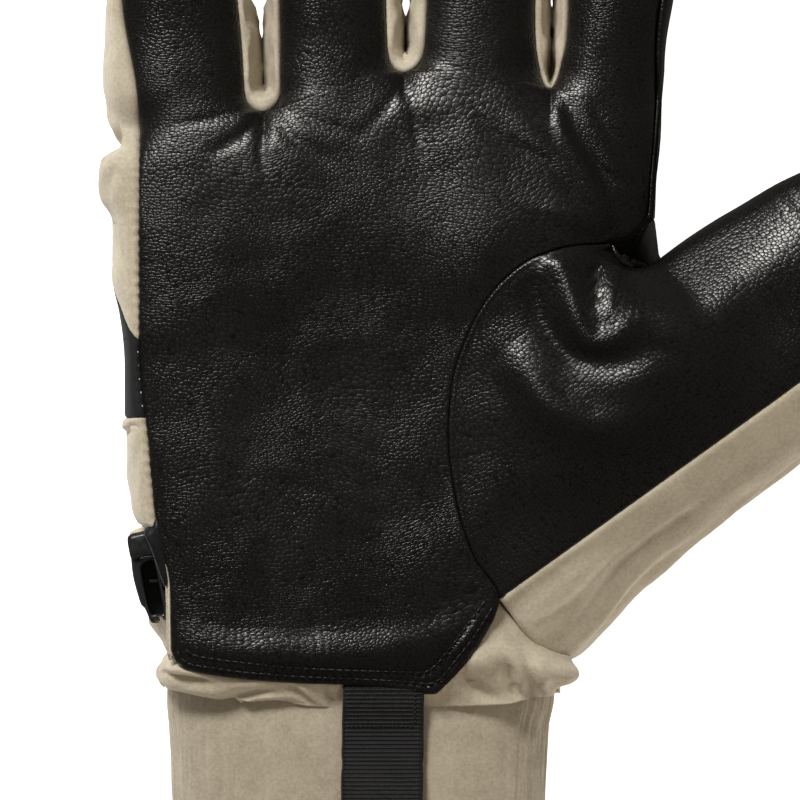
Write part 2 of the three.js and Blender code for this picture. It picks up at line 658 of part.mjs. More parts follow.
sheet('thumb_leather', 'leather', LEATHER, up, [
  {
    us: [0, 0.1, 0.22, 0.36, 0.5, 0.66, 0.83, 1],
    vs: thumbColumns,
    at: (u, v) => {
      const turn = mix(thumbForm.high(ringStart), thumbForm.low(ringStart), v);
      const ring = thumbRing(ringStart, turn, onSeam(v, LEATHER));
      if (u === 1) return folded(ring, v);
      const p = thumbArc(v).lerp(ring, u);
      p.z += MOUND * Math.sin(Math.PI * u) ** 0.8 * Math.sin(Math.PI * v) ** 0.6;
      p.y -= WEB_DIP * Math.sin(Math.PI * u) ** 0.8 * ease(0.55, 1, v);
      p.z += foldHeight(THUMB_FOLDS, p.x, p.y) * Math.sin(Math.PI * v) * ease(0, 0.15, u);
      return v === 0 ? headingIn(p, new THREE.Vector3(0, 0, -LEATHER)) : p;
    },
  },
  {
    us: THUMB_ROWS,
    vs: thumbColumns,
    at: (s, v) => folded(thumbRing(s, mix(thumbForm.high(s), thumbForm.low(s), v), onSeam(v, LEATHER)), v),
  },
], (inner, outer) => {
  const s = outer.x * Math.cos(THUMB_LEAN) + outer.y * Math.sin(THUMB_LEAN);
  if (s > 100) inner.z = Math.max(inner.z, thumbForm.middle(Math.min(s, THUMB_TIP)) + SEAM_GAP / 2);
  return inner;
});

// The seam that the thumb's fabric starts from: over the wrist's side, then along the back's edge.
const UNDER_START = 0.44; // where the seam leaves the wrist's side for the back's edge
const THUMB_SEAM = [
  { v: 0, x: 20.9, y: -40.2, z: 35.0 },
  { v: 0.1, x: 24.6, y: -44.2, z: 33.6 },
  { v: 0.2, x: 29.6, y: -49.0, z: 28.6 },
  { v: 0.28, x: 34.6, y: -52.2, z: 19.0 },
  { v: 0.36, x: 35.6, y: -51.6, z: 7.0 },
  { v: UNDER_START, x: 33.7, y: -48.6, z: 0.4 },
];
const UNDER_END = 29;
const WEB_LIFT = 3.2; // how far the seam rises at the web
const seamX = along(THUMB_SEAM, 'v', 'x');
const seamY = along(THUMB_SEAM, 'v', 'y');
const seamZ = along(THUMB_SEAM, 'v', 'z');

function thumbSeam(v) {
  if (v < UNDER_START) return new THREE.Vector3(seamX(v), seamY(v), seamZ(v));
  const t = (v - UNDER_START) / (1 - UNDER_START);
  const y = mix(seamY(UNDER_START), UNDER_END, t);
  return new THREE.Vector3(backRight(y) + 0.6, y, seamZ(UNDER_START) + WEB_LIFT * t ** 4);
}
const underColumns = [0, 0.1, 0.2, 0.28, 0.36, UNDER_START, 0.55, 0.68, 0.84, 1];
const TURN_GAP = 1.8; // degrees between the pieces round the thumb
const underTurn = (s, v) => mix(
  Math.min(thumbForm.high(s) + TURN_GAP, 180.5),
  Math.min(thumbForm.under(s) - TURN_GAP, 359.5),
  v,
);

sheet('thumb_fabric', 'beige', FABRIC, (p) => new THREE.Vector3(p.x - 45, p.y - 5, p.z - 24), [
  {
    us: [0, 0.15, 0.35, 0.6, 0.8, 1],
    vs: underColumns,
    at: (u, v) => {
      const ring = thumbRing(ringStart, underTurn(ringStart, v), onSeam(v, FABRIC));
      if (u === 1) return ring;
      const p = thumbSeam(v).lerp(ring, u);
      if (v === 0) return headingIn(p, new THREE.Vector3(0, 0, -FABRIC));
      const onBack = u === 0 && v >= UNDER_START;
      return onBack ? headingIn(p, new THREE.Vector3(0, 0, FABRIC)) : p;
    },
  },
  {
    us: THUMB_ROWS,
    vs: underColumns,
    at: (s, v) => thumbRing(s, underTurn(s, v), onSeam(v, FABRIC)),
  },
], (inner, outer) => {
  const s = outer.x * Math.cos(THUMB_LEAN) + outer.y * Math.sin(THUMB_LEAN);
  if (s > 106) inner.z = Math.min(inner.z, thumbForm.middle(Math.min(s, THUMB_TIP)) - SEAM_GAP / 2);
  return inner;
});

sheet('thumb_panel', 'charcoal', FABRIC, (p) => new THREE.Vector3(p.x - 76, p.y - 18, p.z - 20), [
  {
    us: [THUMB_PANEL_START, 78, 85, 92, 98, THUMB_PANEL_END],
    vs: steps(4),
    at: (s, v) => thumbRing(
      s,
      mix(thumbForm.low(s) - 1.5 * TURN_GAP, thumbForm.under(s) - 360, v),
      onSeam(v, FABRIC),
    ),
  },
]);

// The small leather piece in the web: from the round seam's end out over the edge and down.
// One edge follows the index finger's seam, the other the thumb's rolled edge.
const WEB = [
  { v: 0, upperX: 44.8, upperY: 32.3, lowerX: 45.1, lowerY: 30.6, z: 28.8 },
  { v: 0.3, upperX: 47.2, upperY: 34.0, lowerX: 48.0, lowerY: 28.7, z: 26.4 },
  { v: 0.6, upperX: 49.9, upperY: 36.0, lowerX: 51.0, lowerY: 29.6, z: 21.0 },
  { v: 0.8, upperX: 50.8, upperY: 36.0, lowerX: 52.0, lowerY: 30.2, z: 15.0 },
  { v: 1, upperX: 50.4, upperY: 35.6, lowerX: 51.6, lowerY: 30.6, z: 9.4 },
];
const webColumn = (name) => along(WEB, 'v', name);
const web = {
  upperX: webColumn('upperX'),
  upperY: webColumn('upperY'),
  lowerX: webColumn('lowerX'),
  lowerY: webColumn('lowerY'),
  z: webColumn('z'),
};

sheet('web_gusset', 'leather', FABRIC, (p) => new THREE.Vector3(p.x - 40, 0, p.z - 16), [
  {
    us: steps(3),
    vs: steps(5),
    at: (u, v) => new THREE.Vector3(
      mix(web.lowerX(v), web.upperX(v), u),
      mix(web.lowerY(v), web.upperY(v), u),
      web.z(v) - 1.2 * Math.sin(Math.PI * u),
    ),
  },
]);

// The wrist: a loose ring tucked under the leather's hem, and the gathered elastic cuff

const ring = (y, turn, inset, puff = 0) => {
  const left = handLeft(y) + inset - puff;
  const right = handRight(y) - inset + puff;
  const middle = handMiddle(y);
  const wide = Math.sign(Math.cos(turn)) * Math.abs(Math.cos(turn)) ** (2 / HAND_ROUND);
  const high = Math.sign(Math.sin(turn)) * Math.abs(Math.sin(turn)) ** (2 / HAND_ROUND);
  const rise = high > 0 ? handRise(y) - inset + puff : middle - FABRIC - SEAM_GAP - 0.2;
  return new THREE.Vector3(mix(left, right, (1 + wide) / 2), y, middle + rise * high);
};

// Upper edge of the wrist ring: under the hem, up along the slanted edge, down the thumb's seam.
const WRIST_EDGE = [
  { x: -47, y: -52.2 },
  { x: -40, y: -52.4 },
  { x: -22, y: -54.0 },
  { x: -2, y: -55.0 },
  { x: 6, y: -54.6 },
  { x: 12, y: -48.4 },
  { x: 18.6, y: -40.6 },
  { x: 22, y: -43.0 },
  { x: 27, y: -48.0 },
  { x: 31, y: -51.4 },
  { x: 34, y: -53.6 },
];
const wristEdge = along(WRIST_EDGE, 'x', 'y');
const turns = steps(44, 0, 2 * Math.PI);
const PUFF = 1.5;
const puffWave = (turn) => PUFF * (0.75 + 0.25 * Math.sin(11 * turn) * (Math.sin(turn) > 0 ? 1 : 0.2));

sheet('wrist_fabric', 'beige', FABRIC, fromPoint(-7, -56, 17), [
  {
    us: [0, 0.45, 0.75, 1],
    vs: turns,
    at: (u, turn) => {
      const start = ring(-52, turn, TUCK).x;
      const top = Math.sin(turn) > -0.02 ? wristEdge(start) : -53.6;
      const y = mix(top, GATHER + SEAM_GAP, u);
      return ring(y, turn, TUCK, puffWave(turn) * Math.sin(Math.PI * clamp((u - 0.45) / 0.5, 0, 1)));
    },
  },
]);

// The cuff is gathered in fine folds, shallow on the side that it lies on.
const CUFF = [
  { y: CUFF_END, left: -44.6, right: 28.4, top: 36.5 },
  { y: -86, left: -44.8, right: 28.8, top: 34.5 },
  { y: -66, left: -45.6, right: 29.6, top: 32.0 },
  { y: GATHER, left: -46.2, right: 30.6, top: 31.4 },
];
const cuffLeft = along(CUFF, 'y', 'left');
const cuffRight = along(CUFF, 'y', 'right');
const cuffTop = along(CUFF, 'y', 'top');
const FOLDS = 22;
const FOLD_DEPTH = 0.45;

function cuffPoint(y, turn) {
  const fold = FOLD_DEPTH * Math.cos(FOLDS * turn) * ease(CUFF_END, CUFF_END + 4, y);
  const middle = cuffTop(y) / 2;
  const wide = Math.sign(Math.cos(turn)) * Math.abs(Math.cos(turn)) ** (2 / 2.4);
  const high = Math.sign(Math.sin(turn)) * Math.abs(Math.sin(turn)) ** (2 / 2.4);
  const half = (cuffRight(y) - cuffLeft(y)) / 2;
  const lift = high > 0 ? middle + fold : middle + fold * 0.2;
  return new THREE.Vector3(
    (cuffLeft(y) + cuffRight(y)) / 2 + (half + fold) * wide,
    y,
    Math.max(middle + lift * high, 0),
  );
}

sheet('cuff', 'beige', FABRIC, fromPoint(-8, -86, 17), [
  { us: [CUFF_END, -108, -97, -86, -76, -67, GATHER], vs: turns, at: cuffPoint },
]);

// The pull tab lies on the cuff, from the hem to the cuff's end.
const TAB_LEFT = -11.6;
const TAB_RIGHT = 4.8;
const TAB_END = CUFF_END + 1;

sheet('pull_tab', 'webbing', WEBBING, up, [
  {
    us: [-58.9, -62, -66, -72, -80, -88, -96, -104, TAB_END],
    vs: [0, 0.33, 0.67, 1],
    at: (y, v) => {
      const x = mix(TAB_LEFT, TAB_RIGHT, v) + 0.014 * (y + 60);
      const base = y > GATHER ? mix(cuffTop(GATHER), 33.6, (y - GATHER) / 2) : cuffTop(y);
      return new THREE.Vector3(x, y, base + FOLD_DEPTH + SEAM_GAP + WEBBING);
    },
  },
]);

// The clip at the wrist, seen edge on: head, two rails, a cross bar and an open foot.

const CLIP_TOP = new THREE.Vector2(-54.6, -27.6);
const CLIP_LEAN = THREE.MathUtils.degToRad(11.5);
const CLIP_LOW = 13;
const CLIP_DEPTH = 15;
const CLIP = { wide: 5.2, long: 17.4, head: 5.4, rail: 1.3, bar: 1.5, barAt: 10.6, foot: 1.4 };

function clipOutline() {
  const { wide, long, head, rail, bar, barAt, foot } = CLIP;
  const shape = new THREE.Shape();
  shape.moveTo(0.8, 0);
  shape.lineTo(wide - 0.8, 0);
  shape.lineTo(wide, -0.8);
  shape.lineTo(wide, -head);
  shape.lineTo(rail, -head);
  shape.lineTo(rail, -barAt);
  shape.lineTo(wide, -barAt + 0.6);
  shape.lineTo(wide, -long + 1.6);
  shape.lineTo(wide - 0.6, -long + 0.4);
  shape.lineTo(wide - rail, -long + 0.4);
  shape.lineTo(wide - rail, -barAt - bar);
  shape.lineTo(rail, -barAt - bar);
  shape.lineTo(rail, -long + foot);
  shape.lineTo(wide - 2 * rail - 0.2, -long + foot);
  shape.lineTo(wide - 2 * rail - 0.4, -long);
  shape.lineTo(0.8, -long);
  shape.lineTo(0, -long + 0.8);
  shape.lineTo(0, -0.8);
  return shape;
}

const clip = new THREE.ExtrudeGeometry(clipOutline(), { depth: CLIP_DEPTH, bevelEnabled: false, steps: 1 });
clip.rotateZ(CLIP_LEAN);
clip.translate(CLIP_TOP.x, CLIP_TOP.y, CLIP_LOW);
add('clip_body', 'plastic', clip);

// Short webbing: sewn in at the leather's edge, down beside the clip, with a branch under its head.
const CLIP_TAPE = { low: 14.5, depth: 12, thick: 1.1 };

function tapeOutline() {
  const { wide, head } = CLIP;
  const t = CLIP_TAPE.thick;
  const side = wide + SEAM_GAP;
  const shape = new THREE.Shape();
  shape.moveTo(side, 0.2);
  shape.lineTo(side, -head - SEAM_GAP);
  shape.lineTo(2.2, -head - SEAM_GAP);
  shape.lineTo(2.2, -head - SEAM_GAP - t);
  shape.lineTo(side, -head - SEAM_GAP - t);
  shape.lineTo(side, -13);
  shape.lineTo(side + t * 0.8, -13);
  shape.lineTo(side + t, -head);
  shape.lineTo(side + t, 0.2);
  return shape;
}

const tape = new THREE.ExtrudeGeometry(tapeOutline(), { depth: CLIP_TAPE.depth, bevelEnabled: false, steps: 1 });
tape.rotateZ(CLIP_LEAN);
tape.translate(CLIP_TOP.x, CLIP_TOP.y, CLIP_TAPE.low);
add('clip_webbing', 'webbing', tape);

export default group;
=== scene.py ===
# A mountaineering glove for the right hand, seen from above its palm.
# Shapes are worked out in millimetres and go into the meshes in metres.

import bpy
import numpy as np
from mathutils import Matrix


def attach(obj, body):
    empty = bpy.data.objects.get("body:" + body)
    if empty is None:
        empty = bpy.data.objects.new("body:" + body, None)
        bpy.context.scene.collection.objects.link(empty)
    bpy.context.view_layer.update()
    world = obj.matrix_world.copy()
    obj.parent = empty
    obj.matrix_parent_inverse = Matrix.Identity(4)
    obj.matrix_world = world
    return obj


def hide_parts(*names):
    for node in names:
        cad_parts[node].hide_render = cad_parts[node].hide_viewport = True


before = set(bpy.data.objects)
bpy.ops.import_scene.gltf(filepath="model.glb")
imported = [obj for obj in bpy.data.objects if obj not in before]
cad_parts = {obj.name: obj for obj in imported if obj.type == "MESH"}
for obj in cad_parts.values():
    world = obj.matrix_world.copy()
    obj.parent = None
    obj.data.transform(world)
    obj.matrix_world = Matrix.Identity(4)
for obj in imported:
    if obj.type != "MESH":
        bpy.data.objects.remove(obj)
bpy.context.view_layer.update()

# The camera looks straight down on the palm from the height of a studio camera.
# 160 mm across, at the height of the seams, fill the picture.
eye = bpy.data.cameras.new("camera")
eye.sensor_width = 36
eye.lens = 400
eye.clip_end = 20
camera = bpy.data.objects.new("camera", eye)
camera.location = (0, 0, 1.806)
bpy.context.collection.objects.link(camera)
bpy.context.scene.camera = camera
bpy.context.scene.view_settings.view_transform = "Standard"

# The table is white and lit from below, as a light table is, so the glove throws hardly a shadow.
# It is a wide square just under the flat of the back.
TABLE_HALF = 3.0
table_mesh = bpy.data.meshes.new("table")
table_mesh.from_pydata(
    [(x * TABLE_HALF, y * TABLE_HALF, -0.0003) for x, y in ((-1, -1), (1, -1), (1, 1), (-1, 1))],
    [],
    [(0, 1, 2, 3)],
)
table = bpy.data.objects.new("table", table_mesh)
bpy.context.collection.objects.link(table)
table_finish = bpy.data.materials.new("white_table")
table_finish.use_nodes = True
table_shader = table_finish.node_tree.nodes["Principled BSDF"]
table_shader.inputs["Base Color"].default_value = (0.8, 0.8, 0.8, 1)
table_shader.inputs["Roughness"].default_value = 0.9
table_shader.inputs["Emission Color"].default_value = (1, 1, 1, 1)
table_shader.inputs["Emission Strength"].default_value = 0.95
table_mesh.materials.append(table_finish)
table.visible_glossy = False

# Soft light: a large softbox up and to the left, and two weak ones opposite for the shaded sides.
# Each is a square lamp that faces the palm. Only the first one is mirrored in the leather.
SOFTBOXES = [
    # name, place, side, power, colour
    ("key", (-0.60, 1.16, 1.06), 0.50, 29.0, (1, 0.98, 0.94)),
    ("right_fill", (1.60, -0.40, 1.15), 2.0, 11.0, (1, 0.87, 0.72)),
    ("low_fill", (-0.30, -1.70, 1.20), 2.0, 9.5, (1, 0.87, 0.72)),
]
for name, place, side, power, colour in SOFTBOXES:
    lamp = bpy.data.lights.new(name, "AREA")
    lamp.size = side
    lamp.energy = power
    lamp.color = colour
    softbox = bpy.data.objects.new(name, lamp)
    softbox.location = place
    toward = -np.array(place) / np.linalg.norm(place)
    softbox.rotation_euler = (np.arccos(-toward[2]), 0, np.arctan2(toward[0], -toward[1]) + np.pi)
    softbox.visible_glossy = name == "key"
    bpy.context.collection.objects.link(softbox)
world = bpy.data.worlds.new("studio")
world.use_nodes = True
world.node_tree.nodes["Background"].inputs["Color"].default_value = (1, 0.93, 0.84, 1)
world.node_tree.nodes["Background"].inputs["Strength"].default_value = 0.07
bpy.context.scene.world = world

# Palm leather: one piece of pebbled black goat leather for the palm and the fronts of the four
# fingers. Its edges are turned in at the seams, and its hem is folded and sewn down with two rows.


# A millimetre in metres
MM = 0.001


def mix(a, b, t):
    """The value that share t of the way from a to b gives."""
    return a + (b - a) * t


def points_at(x, y, z):
    """Points from their three coordinates, each a number or an array."""
    return np.stack(np.broadcast_arrays(x, y, z), axis=-1)


def ease(low, high, x):
    """A soft step from 0 at low to 1 at high, level at both ends."""
    t = np.clip((x - low) / (high - low), 0, 1)
    return t * t * (3 - 2 * t)


def along(rows, key, column, at):
    """One column of a table as a smooth function of another: cubic pieces whose slope at a row is
    the harmonic mean of the slopes on its two sides, or level where those differ in sign."""
    k = np.array(rows[key], float)
    y = np.array(rows[column], float)
    slopes = np.diff(y) / np.diff(k)
    before = np.concatenate([slopes[:1], slopes])
    after = np.concatenate([slopes, slopes[-1:]])
    alike = before * after > 0
    tangents = np.where(alike, 2 * before * after / np.where(alike, before + after, 1), 0)
    i = np.clip(np.searchsorted(k, at, side="right") - 1, 0, len(k) - 2)
    span = k[i + 1] - k[i]
    t = np.clip((at - k[i]) / span, 0, 1)
    rise, fall, step = tangents[i] * span, tangents[i + 1] * span, y[i + 1] - y[i]
    return y[i] + t * (rise + t * (3 * step - 2 * rise - fall + t * (rise + fall - 2 * step)))


def edge_fade(v, share):
    """1 over a panel, and 0 at its two edges, from which it rises softly over a share of its width."""
    return ease(0, share, v) * (1 - ease(1 - share, 1, v))


def rounded(across, power):
    """Height over a place of a rounded section of half-width 1: the power-th root of 1 less its power."""
    return (1 - np.minimum(np.abs(across), 1) ** power) ** (1 / power)


def squarish(turn, power):
    """Place on a rounded square of half-width 1: the circle's, pushed out until the given powers of
    its two coordinates add up to 1."""
    wide, high = np.cos(turn), np.sin(turn)
    reach = (np.abs(wide) ** power + np.abs(high) ** power) ** (-1 / power)
    return wide * reach, high * reach


def steps(count, crowd=0.0):
    """Places from 0 to 1 that stand closer at both ends, by the share crowd."""
    t = np.linspace(0, 1, count + 1)
    return mix(t, t * t * (3 - 2 * t), crowd)


# By the place along the hand: its left and right outline, its middle height, and the palm's height
# over that
HAND = {
    "y": [-62, -50, -30, 0, 30, 50, 66],
    "left": [-49.4, -50.4, -52.6, -55.6, -57.4, -58.2, -59.2],
    "right": [34.0, 37.0, 40.0, 46.0, 50.9, 51.8, 53.2],
    "middle": [17.2, 17.5, 18.0, 18.0, 18.0, 17.0, 16.0],
    "rise": [18.0, 19.0, 20.0, 20.5, 20.4, 19.8, 19.0],
}
HAND_ROUND = 2.6
PALM_ROUND = 5.5
PALM_SWELLS = [
    # x, y, wide, long, high
    (-14, 4, 22, 26, -1.6),
    (20, 30, 16, 17, 1.8),
    (16, 42, 8, 17, 0.6),
    (-22, 44, 16, 12, 0.7),
    (43.0, 31.0, 6.5, 6.0, -3.2),
]
# Ridges and valleys of the palm: points along each, half-width, height at its middle
PALM_FOLDS = [
    ([(30.4, 62), (32.6, 53), (35.6, 48.8), (38.6, 42), (42.2, 33)], 1.5, 0.7),
    ([(32.8, 61), (34.6, 55), (38.6, 46.6), (45, 36)], 2.0, -0.9),
    ([(14.6, 57), (20.6, 51.3), (30, 47.1), (34.3, 41.5), (41.2, 33.8)], 1.3, -0.55),
    ([(20, 61), (26, 53), (33, 45.5), (41, 34.5)], 2.2, 0.45),
    ([(28, 38.6), (36.4, 35.6), (41.2, 33)], 2.2, 0.8),
    ([(37.3, 49.2), (41, 45), (44.6, 43.4), (48.6, 43)], 0.9, -0.35),
    ([(39, 56), (43, 51), (48, 48.6)], 1.1, -0.3),
    ([(38, 60), (40.5, 55), (45, 51.5)], 1.0, -0.25),
    ([(-27, 58.6), (-31, 53), (-38, 49)], 1.2, -0.5),
    ([(-27, 58.6), (-27.6, 51), (-27, 44)], 1.3, -0.45),
    ([(-26, 58.6), (-21, 52), (-12, 47)], 1.3, -0.5),
    ([(-25.6, 59), (-17, 55.5), (-6, 52)], 1.2, -0.4),
    ([(-28.6, 59), (-35, 56.5), (-44, 55)], 1.1, -0.4),
    ([(1.6, 65.8), (-3, 58), (-9, 52)], 1.2, -0.4),
    ([(1.8, 65.8), (2.6, 57), (4, 49)], 1.2, -0.4),
    ([(-16, -4), (-2, -13), (10, -26)], 1.3, -0.22),
    ([(-37, -14), (-20, -17), (0, -26)], 1.2, -0.16),
    ([(-40, 12), (-20, 8), (-4, 10)], 1.4, -0.15),
    ([(-46, -47.5), (-38, -49.5), (-28, -50.6), (-14, -50.8), (0, -49.6), (10, -47), (15, -44)], 4.2, 1.9),
    ([(-42, -43.4), (-32, -45.6), (-20, -45.4), (-8, -43.6), (2, -43.8), (12, -42)], 0.7, -0.22),
    ([(-30, -47.6), (-18, -46.6), (-6, -45.6), (6, -45.4)], 0.6, -0.2),
    ([(9.6, -51.6), (12.8, -47.8), (16, -43.2)], 0.9, 0.55),
]
# The two rows of stitching along the hem, from the clip's side round and up the slanted edge
HEM_ROWS = [
    [(-44.4, -49.8), (-43.4, -51.6), (-41.4, -52.7), (-37, -53.4), (-32, -54.1), (-21, -55),
     (-8, -55.6), (1, -56.1), (5.6, -56.5), (7.6, -55.8), (11.2, -51.6), (15, -46.6), (18.2, -41.6)],
    [(-42.8, -49.6), (-41, -50.8), (-38, -51.4), (-32, -52.2), (-21, -53.3),
     (-8, -53.9), (1, -54.2), (4.4, -54.3), (6.6, -53.2), (9.6, -49.8), (13.4, -44.8), (16.6, -40.4)],
]


def hand(column, y):
    """One column of the hand's table at a place along the hand."""
    return along(HAND, "y", column, y)


def bend(points, count=40):
    """A smooth line through a few points: each coordinate is a smooth function of the length so far."""
    points = np.array(points, float)
    length = np.concatenate([[0], np.cumsum(np.linalg.norm(np.diff(points, axis=0), axis=1))])
    at = np.linspace(0, length[-1], count)
    columns = [along({"at": length, "c": column}, "at", "c", at) for column in points.T]
    return np.stack(columns, axis=-1)


def folds_at(x, y, folds):
    """Height of soft ridges and valleys at a place. Each is a bell across its line, as wide and high
    as its row says, and runs out towards both ends as the root of a sine does."""
    total = np.zeros(np.broadcast(x, y).shape)
    for points, wide, high in folds:
        line = bend(points)
        away = np.hypot(x[..., None] - line[:, 0], y[..., None] - line[:, 1])
        nearest = away.argmin(axis=-1)
        fade = np.sqrt(np.sin(np.pi * np.clip(nearest / (len(line) - 1), 0.02, 0.98)))
        total += high * fade * np.exp(-((away.min(axis=-1) / wide) ** 2))
    return total


def uneven(x, y, size, seed):
    """Random heights from -1 to 1 on a square lattice of a given size, joined by soft steps."""
    lattice = np.random.default_rng(seed).uniform(-1, 1, (64, 64))
    i, j = np.floor(x / size).astype(int), np.floor(y / size).astype(int)
    s, t = ease(0, 1, x / size - i), ease(0, 1, y / size - j)
    low = mix(lattice[i % 64, j % 64], lattice[(i + 1) % 64, j % 64], s)
    high = mix(lattice[i % 64, (j + 1) % 64], lattice[(i + 1) % 64, (j + 1) % 64], s)
    return mix(low, high, t)


def palm_form(x, y):
    """Height of the plain palm: the hand's rounded section, and soft swells that are bells."""
    half = (hand("right", y) - hand("left", y)) / 2
    place = (x - hand("left", y)) / half - 1
    swell = sum(
        high * np.exp(-(((x - at_x) / wide) ** 2) - ((y - at_y) / tall) ** 2)
        for at_x, at_y, wide, tall, high in PALM_SWELLS
    )
    return hand("middle", y) + hand("rise", y) * rounded(place, PALM_ROUND) + swell


def palm_detail(x, y):
    """Folds, the sewn channels of the hem and a slight unevenness, as a height over the plain palm."""
    channels = folds_at(x, y, [(row, 0.7, -0.4) for row in HEM_ROWS])
    soft = 0.22 * uneven(x, y, 13.0, 3) + 0.10 * uneven(x, y, 4.5, 4)
    return folds_at(x, y, PALM_FOLDS) + channels + soft


LEATHER_LEFT = {
    "y": [-52.4, -49.6, -37.8, -23.6, -8.8, 11.4, 54.0],
    "x": [-44.8, -45.6, -45.8, -48.8, -50.2, -52.0, -52.1],
}
# Rows across the palm, from the hem to the finger roots: where each starts at the leather's left
# edge, where it ends at the right, and how far it bows
PALM_ROWS = {
    "row": list(range(17)),
    "left_y": [-52.4, -49, -44, -37, -28, -18, -8, 2, 11, 18, 23, 27.5, 32, 38, 44, 49.5, 54],
    "right_x": [7.6, 11.8, 16.4, 19.8, 14.6, 11, 9.5, 10.2, 13.8, 19.2, 27.4, 35.6, 42.2, 49.2,
                50, 50.8, 51.2],
    "right_y": [-58.4, -54.2, -48, -39.6, -31, -19.5, -7, 3, 14, 22.6, 28.8, 30.9, 31.4, 36.6,
                45, 53.5, 60],
    "bow": [-1.6, -0.9, -0.4, 0, 0, 0, 0, 0, 0, 0, 0, 0, 0, 0.1, 0.35, 0.7, 1],
}
WEB_ROW = 12
INDEX_ROW = 13
ROOT_ROW = 16
HEM_LINE = {
    "x": [-44.9, -44.4, -43.6, -42.4, -39.4, -32.2, -22, -11.8, -4.2, 0.8, 5, 6.4, 7.2, 7.7],
    "y": [-52.3, -52.8, -53.3, -53.8, -54.6, -55.6, -56.5, -56.8, -57.2, -58, -58.7, -58.75,
          -58.65, -58.4],
}
ROOT_LINE = {
    "v": [0, 0.12, 0.242, 0.378, 0.513, 0.655, 0.797, 1],
    "rise": [0, 1.4, 2.3, 6.0, 8.5, 7.2, 3.4, 0],
}
CROTCH_LEFT = 54.0
CROTCH_RIGHT = 60.0


def leather_left(y):
    """The leather's left edge, slightly scalloped above the clip by the stitches that hold it."""
    scallop = 0.07 * np.sin(2 * np.pi * y / 2.1) * ease(-26, -20, y)
    return along(LEATHER_LEFT, "y", "x", y) + scallop


def palm_row(column, row):
    """One column of the palm's rows."""
    return along(PALM_ROWS, "row", column, row)


def palm_plan(row, v):
    """Place of a row and a share across the palm as seen from above: a straight row that bows as a
    sine, or above the web as the line of finger roots does. Row 0 is the hem's edge."""
    left_y = palm_row("left_y", row)
    x = mix(leather_left(left_y), palm_row("right_x", row), v)
    y = mix(left_y, palm_row("right_y", row), v)
    y = y + palm_row("bow", row) * np.where(
        row > WEB_ROW, along(ROOT_LINE, "v", "rise", v), np.sin(np.pi * v)
    )
    first_y = palm_row("left_y", 0)
    first_x = mix(leather_left(first_y), palm_row("right_x", 0), v)
    plain_y = mix(first_y, palm_row("right_y", 0), v) + palm_row("bow", 0) * np.sin(np.pi * v)
    return x, y + (along(HEM_LINE, "x", "y", first_x) - plain_y) * np.clip(1 - row, 0, 1) ** 2


# little, ring, middle, index
FINGER_X = [-43.4, -13.2, 15.7, 41.8]
FINGER_LEAN = [-0.05, -0.02, 0.03, 0.08]
FINGER_ROOT = [15.7, 14.0, 14.3, 11.3]
FINGER_BODY = [13.2, 13.4, 13.6, 13.2]
FINGER_TIP = [124, 145, 150, 140]
FINGER_SHARE = [0, 0.242, 0.513, 0.797, 1]
NOTCH_ROUND = [None, 4.0, 5.0, 16.0, None]
ROOT_Y = 66.0
ROOT_MIDDLE = 17.6
ROOT_RISE = 16.9
ROOT_EDGE = 0.97
FINGER_ROUND = 2.3
SEAM_HEIGHT = 0.7
STRIP_END = 0.9


def finger_ring(number, y):
    """Centre, half-width, middle height and half-height of a finger at a place along it. The last
    15 mm close as a quarter circle does."""
    tip = FINGER_TIP[number]
    done = np.clip((y - ROOT_Y) / (tip - ROOT_Y), 0, 1)
    dome = np.sqrt(1 - (1 - np.clip((tip - y) / 15, 0, 1)) ** 2)
    half = mix(FINGER_ROOT[number], FINGER_BODY[number], ease(ROOT_Y, ROOT_Y + 34, y))
    centre = FINGER_X[number] + FINGER_LEAN[number] * (y - ROOT_Y)
    middle = ROOT_MIDDLE + 9 * done**1.5
    return centre, half * mix(0.35, 1, dome), middle, mix(ROOT_RISE, 12, done) * dome


def finger_form(hand_z, finger_z, beyond):
    """Height that goes over from the hand's form to the fingers', by the way past the roots."""
    return mix(hand_z, finger_z, ease(-9, 14, beyond))


def seam_reach(f):
    """Share of the half-width at which a finger's front and sides are sewn."""
    lift = SEAM_HEIGHT * (1 - np.clip(f / STRIP_END, 0, 1) ** 4)
    return rounded(lift, FINGER_ROUND) * np.where(f > STRIP_END, 0.995, 1)


def finger_surface(number, side, f, v, form):
    """A finger's front (side 1) or back (side -1): f from the roots to the tip, v across. The edges
    leave the notches as quarter circles, and the height goes over from the hand's to the finger's."""
    start, end = FINGER_SHARE[number], FINGER_SHARE[number + 1]
    tip = FINGER_TIP[number]
    root_x, root_y = palm_plan(ROOT_ROW, mix(start, end, v))
    y = mix(root_y, tip, f)
    centre, half, middle, rise = finger_ring(number, y)
    reach = seam_reach(f) * half

    def edge(share, notch, sign):
        at_x, at_y = palm_plan(ROOT_ROW, share)
        turn = np.clip((mix(at_y, tip, f) - at_y) / (notch or 30), 0, 1)
        opening = np.sqrt(1 - (1 - turn) ** 2) if notch else ease(0, 1, turn)
        return mix(at_x, centre + sign * reach, opening)

    left = edge(start, NOTCH_ROUND[number], -1)
    right = edge(end, NOTCH_ROUND[number + 1], 1)
    x = mix(left, right, v)
    place = mix(ROOT_EDGE * (2 * v - 1), (x - centre) / half, ease(0, 8, y - root_y))
    ring = middle + side * np.maximum(rise * rounded(place, FINGER_ROUND), 0.1)
    z = finger_form(form(x, np.minimum(y, ROOT_Y)), ring, y - root_y)
    return points_at(x, y, z)


